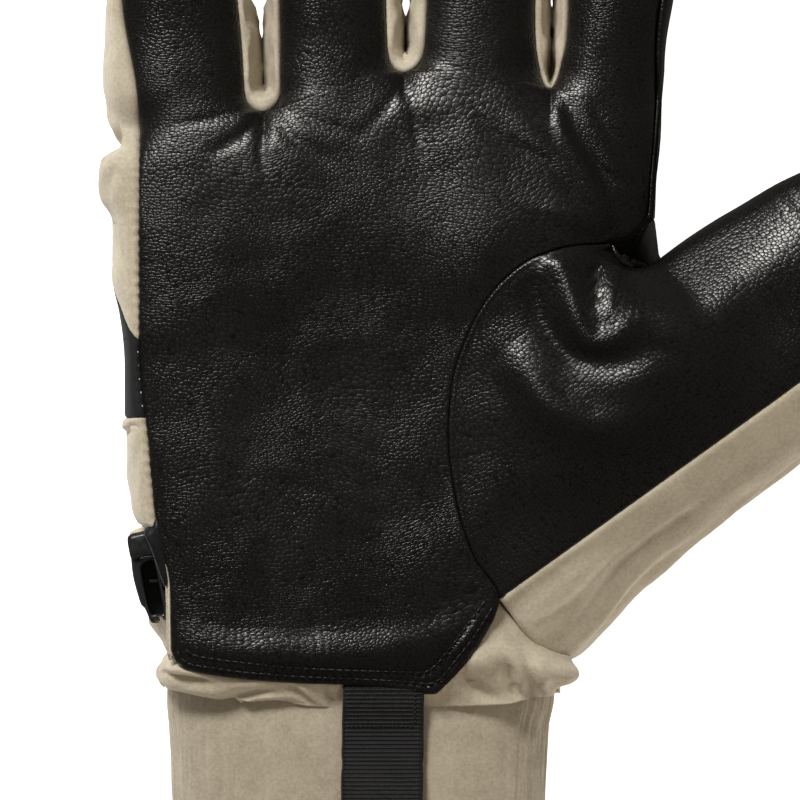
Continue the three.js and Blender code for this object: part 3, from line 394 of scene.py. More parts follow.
def root_ridge(v, side):
    """Height of the fingers' rounded forms across the roots."""
    number = np.clip(np.searchsorted(FINGER_SHARE, v, side="left") - 1, 0, 3)
    share = np.array(FINGER_SHARE)
    place = 2 * (v - share[number]) / (share[number + 1] - share[number]) - 1
    return ROOT_MIDDLE + side * ROOT_RISE * rounded(ROOT_EDGE * place, FINGER_ROUND)


def palm_surface(row, v):
    """The palm below the roots, where the fingers' rounded forms begin to show."""
    x, y = palm_plan(row, v)
    root_y = palm_plan(ROOT_ROW, v)[1]
    z = finger_form(palm_form(x, y), root_ridge(v, 1), y - root_y)
    return points_at(x, y, z)


def weld(patches):
    """Joins grids of points into one: points in the same hundredth of a millimetre are one, and four
    neighbours make a face. Returns points, faces, each face corner's place in the flat cloth, and
    each point's own height to be added, in millimetres."""
    points, cloth, faces, heights, start = [], [], [], [], 0
    for grid, height in patches:
        rows, columns = grid.shape[:2]
        down = np.cumsum(np.linalg.norm(np.diff(grid, axis=0, prepend=grid[:1]), axis=-1), axis=0)
        over = np.cumsum(np.linalg.norm(np.diff(grid, axis=1, prepend=grid[:, :1]), axis=-1), axis=1)
        corner = start + np.arange(rows * columns).reshape(rows, columns)
        squares = [corner[:-1, :-1], corner[1:, :-1], corner[1:, 1:], corner[:-1, 1:]]
        faces.append(np.stack(squares, -1).reshape(-1, 4))
        points.append(grid.reshape(-1, 3))
        cloth.append(np.stack([over, down], -1).reshape(-1, 2))
        heights.append(np.broadcast_to(height, (rows, columns)).reshape(-1))
        start += rows * columns
    points, cloth, faces = np.concatenate(points), np.concatenate(cloth), np.concatenate(faces)
    _, first, same = np.unique(np.round(points * 100), axis=0, return_index=True, return_inverse=True)
    same = same.reshape(-1)
    return points[first], same[faces], cloth[faces], np.concatenate(heights)[first]


def unit(vectors):
    """The vectors at length 1."""
    return vectors / np.maximum(np.linalg.norm(vectors, axis=1, keepdims=True), 1e-9)


def normals_of(points, faces):
    """The way out at each point: the sum of its faces' normals, each as long as its face is large."""
    one = points[faces[:, 2]] - points[faces[:, 0]]
    two = points[faces[:, 3]] - points[faces[:, 1]]
    facing = np.cross(one, two)
    normals = np.zeros_like(points)
    for corner in range(4):
        np.add.at(normals, faces[:, corner], facing)
    return unit(normals), facing


def run_on(first, second, column):
    """One column of a grid, and on along the same column of the next."""
    return np.concatenate([first[:, column], second[1:, column]])


def beside(points, line):
    """How far each point is from the nearest point of a line, and how far along the line that is."""
    length = np.concatenate([[0], np.cumsum(np.linalg.norm(np.diff(line, axis=0), axis=1))])
    away, place = np.empty(len(points)), np.empty(len(points))
    for start in range(0, len(points), 4000):
        part = points[start : start + 4000]
        squares = ((part[:, None, :] - line[None, :, :]) ** 2).sum(axis=-1)
        nearest = squares.argmin(axis=1)
        away[start : start + 4000] = np.sqrt(squares[np.arange(len(part)), nearest])
        place[start : start + 4000] = length[nearest]
    return away, place


# The height that turned edges go towards, and the share of the wall that they keep
GLOVE_MIDDLE = 17.0
TURNED_WALL = 0.1
# The stitches' pitch, and the place and width of a seam's rim in radii of the seam
STITCH_PITCH = 2.6
RIM_PLACE = 1.2
RIM_WIDTH = 0.7


def turn_in(points, faces, cloth, normals, depth, under):
    """Turns a panel's edges in: every edge that only one face has gets a strip, which goes down into
    the glove, towards its middle height, and, by the share under of that depth, back under the panel
    or out under the next one."""
    sides = np.stack([faces, np.roll(faces, -1, axis=1)], -1).reshape(-1, 2)
    places = np.stack([cloth, np.roll(cloth, -1, axis=1)], -2).reshape(-1, 2, 2)
    _, first, count = np.unique(np.sort(sides, axis=1), axis=0, return_index=True, return_counts=True)
    free = first[(count == 1) & (sides[first, 0] != sides[first, 1])]
    edge, place = sides[free], places[free]
    middles = points[faces].mean(axis=1)
    back = np.zeros_like(points)
    for corner in range(4):
        np.add.at(back, faces[:, corner], middles - points[faces[:, corner]])
    back -= normals * (back * normals).sum(axis=1, keepdims=True)
    rim = np.unique(edge)
    down = under * depth * unit(back)[rim] - depth * normals[rim]
    inward = np.where(points[rim, 2] > GLOVE_MIDDLE, -1, 1)
    down[:, 2] = inward * np.maximum(inward * down[:, 2], 0.5 * depth)
    new = np.zeros(len(points), int)
    new[rim] = len(points) + np.arange(len(rim))
    turned = points[rim] + down
    strips = np.stack([edge[:, 1], edge[:, 0], new[edge[:, 0]], new[edge[:, 1]]], -1)
    lower = place - (0, depth)
    below = np.stack([place[:, 1], place[:, 0], lower[:, 0], lower[:, 1]], 1)
    before, added = (points, faces, cloth), (turned, strips, below)
    return [np.concatenate(pair) for pair in zip(before, added)]


def new_piece(name, points, faces, finish):
    """Links a piece whose points are in millimetres."""
    mesh = bpy.data.meshes.new(name)
    mesh.from_pydata((points * MM).tolist(), [], faces)
    mesh.materials.append(finish)
    piece = bpy.data.objects.new(name, mesh)
    bpy.context.collection.objects.link(piece)
    return piece


def sewn(name, patches, seams, inside, wall, finish, nodes, turned=1.6, under=0.3):
    """Makes a sewn panel. Its surface points away from the point inside. At each seam, given as
    (line, radius, depth, pucker, rim), it rolls in as a quarter circle does, stands up in a rim
    beside that, a bell, and is puckered by the stitches. Its edges are turned in by the given
    depth, and Solidify gives it its wall, which is pared to a tenth where it is turned in."""
    points, faces, cloth, heights = weld(patches)
    normals, facing = normals_of(points, faces)
    if (facing * (points[faces[:, 0]] - np.array(inside))).sum() < 0:
        faces, cloth, normals = faces[:, ::-1], cloth[:, ::-1], -normals
    points = points + normals * heights[:, None]
    normals = normals_of(points, faces)[0]
    for line, radius, depth, pucker, rim in seams:
        away, place = beside(points, line)
        away = away / radius
        drop = depth * (1 - np.sqrt(1 - np.clip(1 - away, 0, 1) ** 2))
        wave = pucker * np.cos(2 * np.pi * place / STITCH_PITCH) * away * np.exp(-(away**2))
        bead = rim * np.exp(-(((away - RIM_PLACE) / RIM_WIDTH) ** 2))
        points = points - normals * (drop + wave - bead)[:, None]
    count = len(points)
    points, faces, cloth = turn_in(points, faces, cloth, normals, turned, under)
    piece = new_piece(name, points, faces.tolist(), finish)
    piece.data.uv_layers.new(name="cloth").data.foreach_set("uv", (cloth * MM).reshape(-1))
    piece.data.polygons.foreach_set("use_smooth", np.ones(len(faces), bool))
    solidify = piece.modifiers.new("wall", "SOLIDIFY")
    solidify.thickness = wall * MM
    solidify.offset = -1
    solidify.use_even_offset = False
    whole = piece.vertex_groups.new(name="whole")
    whole.add(range(count), 1, "REPLACE")
    solidify.vertex_group = "whole"
    solidify.thickness_vertex_group = TURNED_WALL
    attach(piece, "root")
    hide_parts(*nodes)
    return piece


class Finish:
    """A material under construction. put adds a node: its inputs are values or other nodes' outputs."""

    def __init__(self, name):
        self.material = bpy.data.materials.new(name)
        self.material.use_nodes = True
        self.tree = self.material.node_tree
        self.shader = self.tree.nodes["Principled BSDF"]

    def put(self, kind, inputs, **settings):
        node = self.tree.nodes.new("ShaderNode" + kind)
        for key, value in settings.items():
            setattr(node, key, value)
        self.fill(node, inputs)
        return node.outputs

    def fill(self, node, inputs):
        for key, value in inputs.items():
            if isinstance(value, bpy.types.NodeSocket):
                self.tree.links.new(value, node.inputs[key])
            else:
                node.inputs[key].default_value = value

    def ramp(self, source, low, high, dark, light):
        """Maps low..high of a value to dark..light, smoothly and no further."""
        return self.put(
            "MapRange",
            {"Value": source, "From Min": low, "From Max": high, "To Min": dark, "To Max": light},
            interpolation_type="SMOOTHSTEP",
        )["Result"]

    def add(self, *terms):
        """Sum of values times their weights."""
        total = None
        for value, weight in terms:
            part = self.put("Math", {0: value, 1: weight}, operation="MULTIPLY")[0]
            total = part if total is None else self.put("Math", {0: total, 1: part}, operation="ADD")[0]
        return total

    def two(self, source, dark, light):
        """A colour between dark and light."""
        node = self.tree.nodes.new("ShaderNodeValToRGB")
        node.color_ramp.elements[0].color = (*dark, 1)
        node.color_ramp.elements[1].color = (*light, 1)
        self.tree.links.new(source, node.inputs["Fac"])
        return node.outputs["Color"]


def leather_finish(name, turn, narrow):
    """Pebbled leather: domed cells 1 mm wide and 1 mm / narrow high, each leaning a little its own
    way, with fine cracks between them, in rows that wander. Its colour is darker in the cracks,
    a painted shade."""
    made = Finish(name)
    place = made.put("TexCoord", {})["Object"]
    drift = made.put("TexNoise", {"Vector": place, "Scale": 42.0, "Detail": 1.0})["Color"]
    offset = made.put("VectorMath", {0: drift, 1: (0.5, 0.5, 0.5)}, operation="SUBTRACT")[0]
    offset = made.put("VectorMath", {0: offset, "Scale": 0.012}, operation="SCALE")[0]
    bent = made.put("VectorMath", {0: place, 1: offset}, operation="ADD")[0]
    flow = made.put(
        "Mapping", {"Vector": bent, "Rotation": (0, 0, turn), "Scale": (1, narrow, 1.2)}
    )["Vector"]
    cell = {"Vector": flow, "Scale": 1000.0, "Randomness": 0.72}
    pebble = made.put("TexVoronoi", cell, feature="F1")
    border = made.put("TexVoronoi", cell, feature="DISTANCE_TO_EDGE")["Distance"]
    dome = made.put("Math", {0: pebble["Distance"], 1: 2.0}, operation="POWER")[0]
    toward = made.put("VectorMath", {0: flow, 1: pebble["Position"]}, operation="SUBTRACT")[0]
    way = made.put("VectorMath", {0: pebble["Color"], 1: (0.5, 0.5, 0.5)}, operation="SUBTRACT")[0]
    lean = made.put("VectorMath", {0: toward, 1: way}, operation="DOT_PRODUCT")["Value"]
    long_way = made.put("Mapping", {"Vector": flow, "Scale": (1, 2.6, 2)})["Vector"]
    crease = made.put("TexNoise", {"Vector": long_way, "Scale": 170.0, "Detail": 3.0})["Fac"]
    grain = made.put("TexNoise", {"Vector": flow, "Scale": 5200.0, "Detail": 1.0})["Fac"]
    wide = made.put("TexNoise", {"Vector": place, "Scale": 60.0, "Detail": 2.0})["Fac"]
    top = made.ramp(border, 0.0, 0.13, 0, 1)
    height = made.add((top, 0.6), (dome, -3.4), (lean, 600.0), (crease, 0.9), (grain, 0.12))
    bump = made.put("Bump", {"Height": height, "Strength": 1.0, "Distance": 0.000024})["Normal"]
    # The base colour is darker in the cracks between the pebbles, a painted shade, and also varies at
    # random over wider patches.
    tone = made.add((top, 0.55), (wide, 0.5))
    made.fill(made.shader, {
        "Base Color": made.two(tone, (0.0028, 0.0026, 0.0023), (0.0085, 0.0080, 0.0073)),
        "Roughness": made.ramp(wide, 0.3, 0.7, 0.28, 0.34),
        "Normal": bump,
        "Specular IOR Level": made.ramp(border, 0.0, 0.09, 0.2, 0.55),
    })
    return made.material


palm_finish = leather_finish("goat_leather_palm", 0.12, 1.6)
LEATHER_WALL = 1.5

finger_columns = steps(36, 0.6)
segments = [mix(FINGER_SHARE[k], FINGER_SHARE[k + 1], finger_columns) for k in range(4)]
palm_rows = np.concatenate([np.linspace(0, 1, 13), np.linspace(1, ROOT_ROW, 151)[1:]])
finger_rows = steps(72, 1.0)
palm_patches = []
for columns in segments:
    grid = palm_surface(palm_rows[:, None], columns[None, :])
    grid[..., 2] += palm_detail(grid[..., 0], grid[..., 1]) * edge_fade(columns, 0.03)
    palm_patches.append((grid, 0))
for number in range(4):
    t = finger_rows[:, None]
    grid = finger_surface(number, 1, t, finger_columns[None, :], palm_form)
    fade = mix(edge_fade(segments[number], 0.03), edge_fade(finger_columns, 0.12), ease(0, 0.08, t))
    grid[..., 2] += palm_detail(grid[..., 0], grid[..., 1]) * fade
    palm_patches.append((grid, 0))

line_rows = np.linspace(0, ROOT_ROW, 500)
line_fingers = steps(220, 1.0)
palm_seams = [
    (palm_surface(line_rows, 0.0), 0.7, 0.35, 0.10, 0),
    (palm_surface(np.linspace(3, WEB_ROW, 500), 1.0), 0.6, 0.3, 0.03, 0),
    (palm_surface(np.linspace(WEB_ROW, ROOT_ROW, 160), 1.0), 0.8, 0.3, 0.05, 0),
    (np.concatenate([palm_surface(0.0, np.linspace(0, 1, 500)),
                     palm_surface(np.linspace(0, 3, 100), 1.0)]), 1.4, 0.8, 0.06, 0),
]
for number in range(4):
    for edge in (0.0, 1.0):
        palm_seams.append((finger_surface(number, 1, line_fingers, edge, palm_form), 0.8, 0.4, 0.10, 0))
palm = sewn("palm_leather_skin", palm_patches, palm_seams, (0, 30, 10), LEATHER_WALL, palm_finish,
           ["palm_leather"])

# Stretch fabric: a matte stone-coloured weave for the backs of the fingers, the sides, the thumb's
# underside and the wrist. The back of the hand is sewn from panels that meet at the knuckles.
STONE_DARK = (0.40, 0.35, 0.265)
STONE_LIGHT = (0.60, 0.545, 0.435)


def weave_finish(name, dark, light, pitch, relief, rough, sheen):
    """A fine weave: two sets of threads that cross, at the given pitch in millimetres, their dyeing
    slightly uneven, over a soft fuzz. It follows the cloth's own places."""
    made = Finish(name)
    cloth = made.put("UVMap", {}, uv_map="cloth")["UV"]
    place = made.put("TexCoord", {})["Object"]
    scale = 2 * np.pi / (20 * pitch * MM)
    warp = made.put("TexWave", {"Vector": cloth, "Scale": scale, "Distortion": 0.6, "Detail": 1.0},
                    wave_type="BANDS", bands_direction="X")["Fac"]
    weft = made.put("TexWave", {"Vector": cloth, "Scale": scale, "Distortion": 0.6, "Detail": 1.0},
                    wave_type="BANDS", bands_direction="Y")["Fac"]
    cross = made.put("Math", {0: warp, 1: weft}, operation="MULTIPLY")[0]
    fuzz = made.put("TexNoise", {"Vector": place, "Scale": 1500.0, "Detail": 2.0})["Fac"]
    slub = made.put("TexNoise", {"Vector": place, "Scale": 260.0, "Detail": 3.0})["Fac"]
    cloud = made.put("TexNoise", {"Vector": place, "Scale": 45.0, "Detail": 2.0})["Fac"]
    tone = made.add((cross, 0.10), (fuzz, 0.5), (slub, 0.35), (cloud, 0.4))
    height = made.add((cross, relief), (fuzz, 0.9), (slub, 0.6))
    bump = made.put("Bump", {"Height": height, "Strength": 0.5, "Distance": 0.00012})["Normal"]
    made.fill(made.shader, {
        "Base Color": made.two(made.ramp(tone, 0.35, 0.95, 0, 1), dark, light),
        "Roughness": rough,
        "Normal": bump,
        "Sheen Weight": sheen,
        "Sheen Roughness": 0.5,
        "Specular IOR Level": 0.2,
    })
    return made.material


stone = weave_finish("stone_stretch_weave", STONE_DARK, STONE_LIGHT, 0.42, 0.35, 0.9, 0.15)
FABRIC_WALL = 1.1
THUMB_ROOM = 9.0
BACK_RIGHT = {"y": [-51, 29, 36, CROTCH_RIGHT], "x": [32.6, 49.2, 49.8, 51.2]}
KNUCKLE_TOP = 36.0
KNUCKLE_LOW = 12.1
PANEL_LOW = -3.6


def back_form(x, y):
    """Height of the back: flat on the table, and rounded up at both edges of the hand."""
    right = hand("right", y) + THUMB_ROOM * (1 - ease(22, 40, y))
    half = (right - hand("left", y)) / 2
    place = (x - hand("left", y)) / half - 1
    return np.maximum(hand("middle", y) - (hand("middle", y) + 2.2) * rounded(place, 4), 0)


def back_surface(y, v):
    """The back of the hand between its two side seams."""
    x = mix(leather_left(y), along(BACK_RIGHT, "y", "x", y), v)
    return points_at(x, y, back_form(x, y))


def back_roots(t, v):
    """The back from the knuckle seam to the finger roots."""
    root_x, root_y = palm_plan(ROOT_ROW, v)
    y = mix(KNUCKLE_TOP, root_y, t)
    x = mix(back_surface(y, v)[..., 0], root_x, t)
    z = finger_form(back_form(x, y), root_ridge(v, -1), y - root_y)
    return points_at(x, y, z)


def cloth_soft(grid, size, high, seed):
    """A slight unevenness of loose cloth, a little under its plain surface."""
    return high * uneven(grid[..., 0], grid[..., 1], size, seed) - 0.6 * high


back_columns = steps(24, 0.5)
back_segments = [mix(FINGER_SHARE[k], FINGER_SHARE[k + 1], back_columns) for k in range(4)]
back_patches = []
for columns in back_segments:
    t = steps(44)[:, None]
    grid = back_roots(t, columns[None, :])
    fade = edge_fade(columns, 0.03) * ease(0, 0.08, t)
    back_patches.append((grid, cloth_soft(grid, 7.0, 0.25, 11) * fade))
for number in range(4):
    t = finger_rows[:, None]
    grid = finger_surface(number, -1, t, back_columns[None, :], back_form)
    fade = mix(edge_fade(back_segments[number], 0.03), edge_fade(back_columns, 0.15), ease(0, 0.08, t))
    back_patches.append((grid, cloth_soft(grid, 7.0, 0.25, 11) * fade))
back_seams = [(back_roots(0.0, np.linspace(0, 1, 400)), 1.5, 0.4, 0.08, 0)]
for number in range(4):
    for edge in (0.0, 1.0):
        back_seams.append((finger_surface(number, -1, line_fingers, edge, back_form), 1.0, 0.5, 0.12, 0))
fingers_back = sewn("back_finger_cloth", back_patches, back_seams, (0, 90, 20), FABRIC_WALL, stone,
    ["back_finger_fabric"])

rows = np.linspace(-59.6, PANEL_LOW, 90)[:, None]
columns = steps(110, 0.5)[None, :]
grid = back_surface(rows, columns)
soft = cloth_soft(grid, 8.0, 0.2, 12) * edge_fade(columns, 0.05) * ease(0, -4, rows - PANEL_LOW)
wrist_back = sewn("back_wrist_cloth", [(grid, soft)], [(grid[-1], 1.5, 0.4, 0.08, 0)],
    (0, -20, 20), FABRIC_WALL, stone, ["back_wrist_fabric"])

# The little finger's side: the same stretch fabric, which bulges over the edge of the leather and
# narrows to a point beside the knuckle panel. It is eased in, so it stands in soft folds.
LEFT_SIDE = {
    "y": [-52, -46, -42, -39, -36, -27.0, -24.6, -21, -14, -8, -6.4, -5.4, -4.4, -3.6, 7, 12, 17,
          25, 36, 41, 46, 48.4, 49.8, 51, 56, 63, 67],
    "x": [-45.7, -45.9, -46.6, -46.5, -45.5, -46.5, -52.6, -54.2, -54.7, -54.9, -55.0, -55.8, -55.7,
          -55.3, -55.3, -55.6, -56.3, -57.8, -57.8, -60.0, -60.6, -60.2, -58.6, -57.0, -58.4, -59.6,
          -59.7],
}
SIDE_BORDER = {
    "y": [KNUCKLE_LOW, 15, 21, 27, 35, KNUCKLE_TOP],
    "v": [0.0, 0.14, 0.32, 0.42, 0.51, 0.97],
}
# The side is about 22 mm wide when it lies flat, and so are the strips between the fingers
SIDE_WIDTH = 22
# Folds of the side: points as (along the hand, down the side), half-width, height
SIDE_FOLDS = [
    ([(50.4, 16), (51.0, 11), (52.8, 6), (54.5, 4)], 1.1, -1.1),
    ([(49.0, 3), (44, 7), (38, 9)], 1.8, 0.6),
    ([(46.6, 2), (43.5, 4.5), (40, 5.2)], 1.2, -0.55),
    ([(53.6, 7), (57, 9), (60, 8)], 1.6, 0.5),
    ([(36.5, 6.4), (31, 4.8), (26, 2.8), (22, 1.6)], 0.8, -0.6),
    ([(34.5, 3.2), (30, 2.4), (26, 1.4)], 0.7, -0.4),
    ([(61, 12), (58, 7), (55, 3)], 1.4, -0.4),
]


def strip(top, bottom, reach_x, reach_y, v):
    """A strip sewn between two seams. It goes down as half a cosine wave and out to its reach as the
    0.55th power of a sine."""
    v = np.asarray(v)[..., None]
    point = mix(top, bottom, (1 - np.cos(np.pi * v)) / 2)
    out = np.stack(np.broadcast_arrays(reach_x, reach_y), axis=-1) - ((top + bottom) / 2)[..., :2]
    point[..., :2] += out * np.maximum(np.sin(np.pi * v), 0) ** 0.55
    return point


def side_top(y):
    """The seam between the leather and the left side."""
    x = leather_left(y)
    z = finger_form(palm_form(x, y), root_ridge(np.zeros_like(y), 1), y - CROTCH_LEFT)
    return points_at(x, y, z)


def side_bottom(y):
    """The left edge of the back."""
    low = back_surface(y, 0.0)
    low[..., 2] = finger_form(low[..., 2], root_ridge(np.zeros_like(y), -1), y - CROTCH_LEFT)
    return low


def hand_side(y, v):
    """The hand's left side, out to the glove's outline."""
    y, v = np.broadcast_arrays(y, v)
    reach = np.minimum(along(LEFT_SIDE, "y", "x", y), leather_left(y) - 0.8)
    return strip(side_top(y), side_bottom(y), reach, y, v)


def finger_side(number, f, v):
    """The outer side of the little or the index finger."""
    f, v = np.broadcast_arrays(f, v)
    edge, sign = (0.0, -1) if number == 0 else (1.0, 1)
    top = finger_surface(number, 1, f, edge, palm_form)
    bottom = finger_surface(number, -1, f, edge, back_form)
    y = top[..., 1]
    centre, half, _, _ = finger_ring(number, y)
    outline = along(LEFT_SIDE, "y", "x", y) if number == 0 else hand("right", y)
    x = mix(outline, centre + sign * half, ease(CROTCH_RIGHT, ROOT_Y + 14, y))
    return strip(top, bottom, x, y, v)


# The rows of the side that lie beside the knuckle panel, where its seams are flatter
KNUCKLE_ROWS = 36
side_columns = steps(44, 0.5)
side_rows = np.linspace(KNUCKLE_LOW, CROTCH_LEFT, 150)[:, None]
border = np.where(side_rows > KNUCKLE_TOP, 1, along(SIDE_BORDER, "y", "v", side_rows))
side_v = side_columns[None, :] * border
side_grid = hand_side(side_rows, side_v)
side_fade = edge_fade(side_columns, 0.08)
side_height = folds_at(side_rows + 0 * side_v, SIDE_WIDTH * side_v, SIDE_FOLDS)
side_height += 0.35 * uneven(side_rows + 0 * side_v, SIDE_WIDTH * side_v, 6.0, 21)
side_height = side_height * ease(17, 24, side_rows)
tip_rows = finger_rows[finger_rows < STRIP_END][:, None]
tip_grid = finger_side(0, tip_rows, side_columns[None, :])
tip_height = folds_at(tip_grid[..., 1], SIDE_WIDTH * side_columns + 0 * tip_rows, SIDE_FOLDS)
tip_height += 0.35 * uneven(tip_grid[..., 1], SIDE_WIDTH * side_columns + 0 * tip_rows, 6.0, 21)
little_side = sewn("little_side_cloth",
    [(side_grid, side_height * side_fade), (tip_grid, tip_height * side_fade)],
    [(side_grid[:KNUCKLE_ROWS, 0], 0.6, 0.3, 0, 0), (side_grid[:KNUCKLE_ROWS, -1], 0.6, 0.3, 0, 0),
     (run_on(side_grid[KNUCKLE_ROWS:], tip_grid, 0), 0.7, 0.3, 0.3, 0.15),
     (run_on(side_grid[KNUCKLE_ROWS:], tip_grid, -1), 0.8, 0.4, 0.1, 0)],
    (-30, 60, 16), FABRIC_WALL, stone, ["little_side_fabric"], 1.6, -0.5)

# The wrist's side runs on behind the clip, where it reaches further out, and swells in a small roll
# under the charcoal panel.
LOW_SIDE = {
    "y": [-52, -49, -46.5, -45, -43.6, -38.4, -31, -27, -23.9],
    "x": [-46.6, -47.6, -49.5, -50.6, -51.0, -52.2, -52.4, -52.4, -52.8],
}
WRIST_SIDE_FOLDS = [
    ([(-6.6, 10), (-6.2, 7), (-5.0, 3.6), (-5.4, 1.2), (-5.2, -1)], 0.7, -0.9),
    ([(-9, 1.5), (-13, 3), (-19, 4)], 1.3, -0.35),
    ([(-40, 16), (-44, 14), (-48, 10)], 1.2, -0.5),
]
# The rows beside the clip, where the seam is flatter
CLIP_ROWS = 100
rows = np.linspace(-51.0, PANEL_LOW, 190)[:, None]
grid = hand_side(rows, side_columns[None, :])
high_x = along(LEFT_SIDE, "y", "x", rows)
lobe = ease(0.54, 0.76, side_columns) * (1 - ease(0.84, 1, side_columns))
grid[..., 0] += np.minimum(along(LOW_SIDE, "y", "x", rows) - high_x, 0) * lobe
height = folds_at(rows + 0 * side_columns, SIDE_WIDTH * side_columns + 0 * rows, WRIST_SIDE_FOLDS)
height += 0.3 * uneven(rows + 0 * side_columns, SIDE_WIDTH * side_columns + 0 * rows, 5.0, 22)
height = height * ease(-30, -24, rows)
wrist_side = sewn("wrist_side_cloth", [(grid, height * side_fade)],
    [(grid[:CLIP_ROWS, 0], 0.6, 0.4, 0, 0), (grid[CLIP_ROWS:, 0], 0.7, 0.3, 0.25, 0.1),
     (grid[:, -1], 1.0, 0.5, 0.1, 0), (grid[-1], 0.8, 0.3, 0, 0)],
    (-10, -25, 16), FABRIC_WALL, stone, ["wrist_side_fabric"], 1.6, -0.5)

# Knuckle panel and side panel: smooth charcoal fabric over the back of the knuckles and the outer
# edge of the hand. Small white stitches hold the side panel's edge to the leather.
PANEL_DARK = (0.011, 0.0115, 0.013)
PANEL_LIGHT = (0.018, 0.019, 0.021)
charcoal = weave_finish("charcoal_panel", PANEL_DARK, PANEL_LIGHT, 0.3, 0.2, 0.7, 0.05)

rows = np.linspace(KNUCKLE_LOW, KNUCKLE_TOP, 60)[:, None]
over = mix(along(SIDE_BORDER, "y", "v", rows), 1, steps(34, 0.4)[None, :])
side = hand_side(rows, over)
columns = steps(90, 0.5)[None, :]
flat = back_surface(rows, columns)
soft = cloth_soft(flat, 9.0, 0.15, 31) * edge_fade(columns, 0.05)
soft = soft * edge_fade((rows - rows[0]) / np.ptp(rows), 0.1)
knuckle_panel = sewn("knuckle_panel_cloth", [(side, 0), (flat, soft)],
    [(side[:, 0], 1.0, 0.5, 0.06, 0), (flat[0], 1.4, 0.4, 0.06, 0), (flat[-1], 1.5, 0.4, 0.06, 0)],
    (-5, 25, 16), FABRIC_WALL, charcoal, ["knuckle_panel"], 1.6, -0.5)

rows = np.linspace(PANEL_LOW, KNUCKLE_LOW, 46)[:, None]
side = hand_side(rows, steps(44, 0.5)[None, :])
flat = back_surface(rows, columns)
soft = cloth_soft(flat, 9.0, 0.12, 32) * edge_fade(columns, 0.05)
soft = soft * edge_fade((rows - rows[0]) / np.ptp(rows), 0.1)
side_panel = sewn("side_panel_cloth", [(side, 0), (flat, soft)],
    [(side[:, 0], 0.9, 0.4, 0.05, 0), (np.concatenate([side[0], flat[0, 1:]]), 1.2, 0.4, 0.06, 0),
     (flat[-1], 1.4, 0.4, 0.06, 0)],
    (-5, 5, 16), FABRIC_WALL, charcoal, ["side_panel"], 1.6, -0.5)

# The index finger's side: a strip of the same leather as the palm, and between the fingers strips
# of stretch fabric, folded like a gusset, that show as pale loops in the notches.
rows = palm_rows[palm_rows > INDEX_ROW - 0.05][:, None]
v = steps(40, 0.5)[None, :]
top = palm_surface(rows + 0 * v, 1.0 + 0 * v)
bottom = back_roots(np.clip((top[..., 1] - KNUCKLE_TOP) / (CROTCH_RIGHT - KNUCKLE_TOP), 0, 1), 1.0 + 0 * v)
low_side = strip(top, bottom, hand("right", top[..., 1]), top[..., 1], v + 0 * rows)
high_side = finger_side(3, tip_rows, v)
index_side = sewn("index_side_leather", [(low_side, 0), (high_side, 0)],
    [(run_on(low_side, high_side, 0), 1.0, 0.6, 0.06, 0),
     (run_on(low_side, high_side, -1), 1.0, 0.5, 0.06, 0)],
    (30, 80, 16), LEATHER_WALL, palm_finish, ["index_side"], 1.6, -0.6)

NOTCH_DEPTHS = [4.6, 3.0, 1.2]
NOTCH_GAPS = [1.2, 0.0, 0.0]
NOTCHES = ["fourchette_little_ring", "fourchette_ring_middle", "fourchette_middle_index"]


def notch_wall(number, f, v, left):
    """One side of the strip in a notch, from its fold at the bottom (f 0) up the finger beside it.
    Its upper part leaves half the notch's gap free, and its lower part touches the other side."""
    f, v = np.broadcast_arrays(f, v)
    root_x, root_y = palm_plan(ROOT_ROW, FINGER_SHARE[number + 1])
    which = number if left else number + 1
    edge, sign = (1.0, 1) if left else (0.0, -1)
    top = finger_surface(which, 1, f, edge, palm_form)
    bottom = finger_surface(which, -1, f, edge, back_form)
    beyond = top[..., 1] - root_y
    y = root_y + np.maximum(beyond, NOTCH_DEPTHS[number] + 0.55 * beyond)
    one, two = finger_ring(number, y), finger_ring(number + 1, y)
    ring = finger_ring(which, y)
    between = (one[0] + one[1] + two[0] - two[1]) / 2
    own = ring[0] + sign * ring[1]
    beyond_notch = ease(68, 84, y)
    gap = NOTCH_GAPS[number] + 0.6 * beyond_notch
    free = np.where(sign * (between - own) > gap, own, between - sign * gap)
    opening = ease(0, 1, np.clip(beyond / 1.5, 0, 1))
    point = strip(top, bottom, mix(root_x, free, opening), y, v)
    deep = ease(0.2, 0.55, v) * (1 - ease(0.8, 1, v)) * (1 - beyond_notch)
    point[..., 0] += sign * (0.6 + np.maximum(sign * (between - free), 0)) * opening * deep
    return point


for number, node in enumerate(NOTCHES):
    left = notch_wall(number, tip_rows[1:][::-1], v, True)
    right = notch_wall(number, tip_rows, v, False)
    whole = np.concatenate([left, right])
    bumps = 0.5 * uneven(whole[..., 1] * 1.3, SIDE_WIDTH * v + 0 * whole[..., 1], 3.2, 41 + number)
    root_x = palm_plan(ROOT_ROW, FINGER_SHARE[number + 1])[0]
    strip_piece = sewn(node + "_cloth", [(whole, bumps * edge_fade(v, 0.1))],
                       [(whole[:, 0], 0.6, 0.25, 0.25, 0), (whole[:, -1], 1.0, 0.5, 0.12, 0)],
                       (root_x, -200, 16), FABRIC_WALL, stone, [node], 1.6, -0.6)

# The thumb: leather over the ball of the thumb, set in with a round seam that stands proud of the
# palm, stretch fabric round its outer side and underside, and a charcoal panel on its back.
THUMB_LEAN = np.radians(37)
THUMB_TIP = 117.0
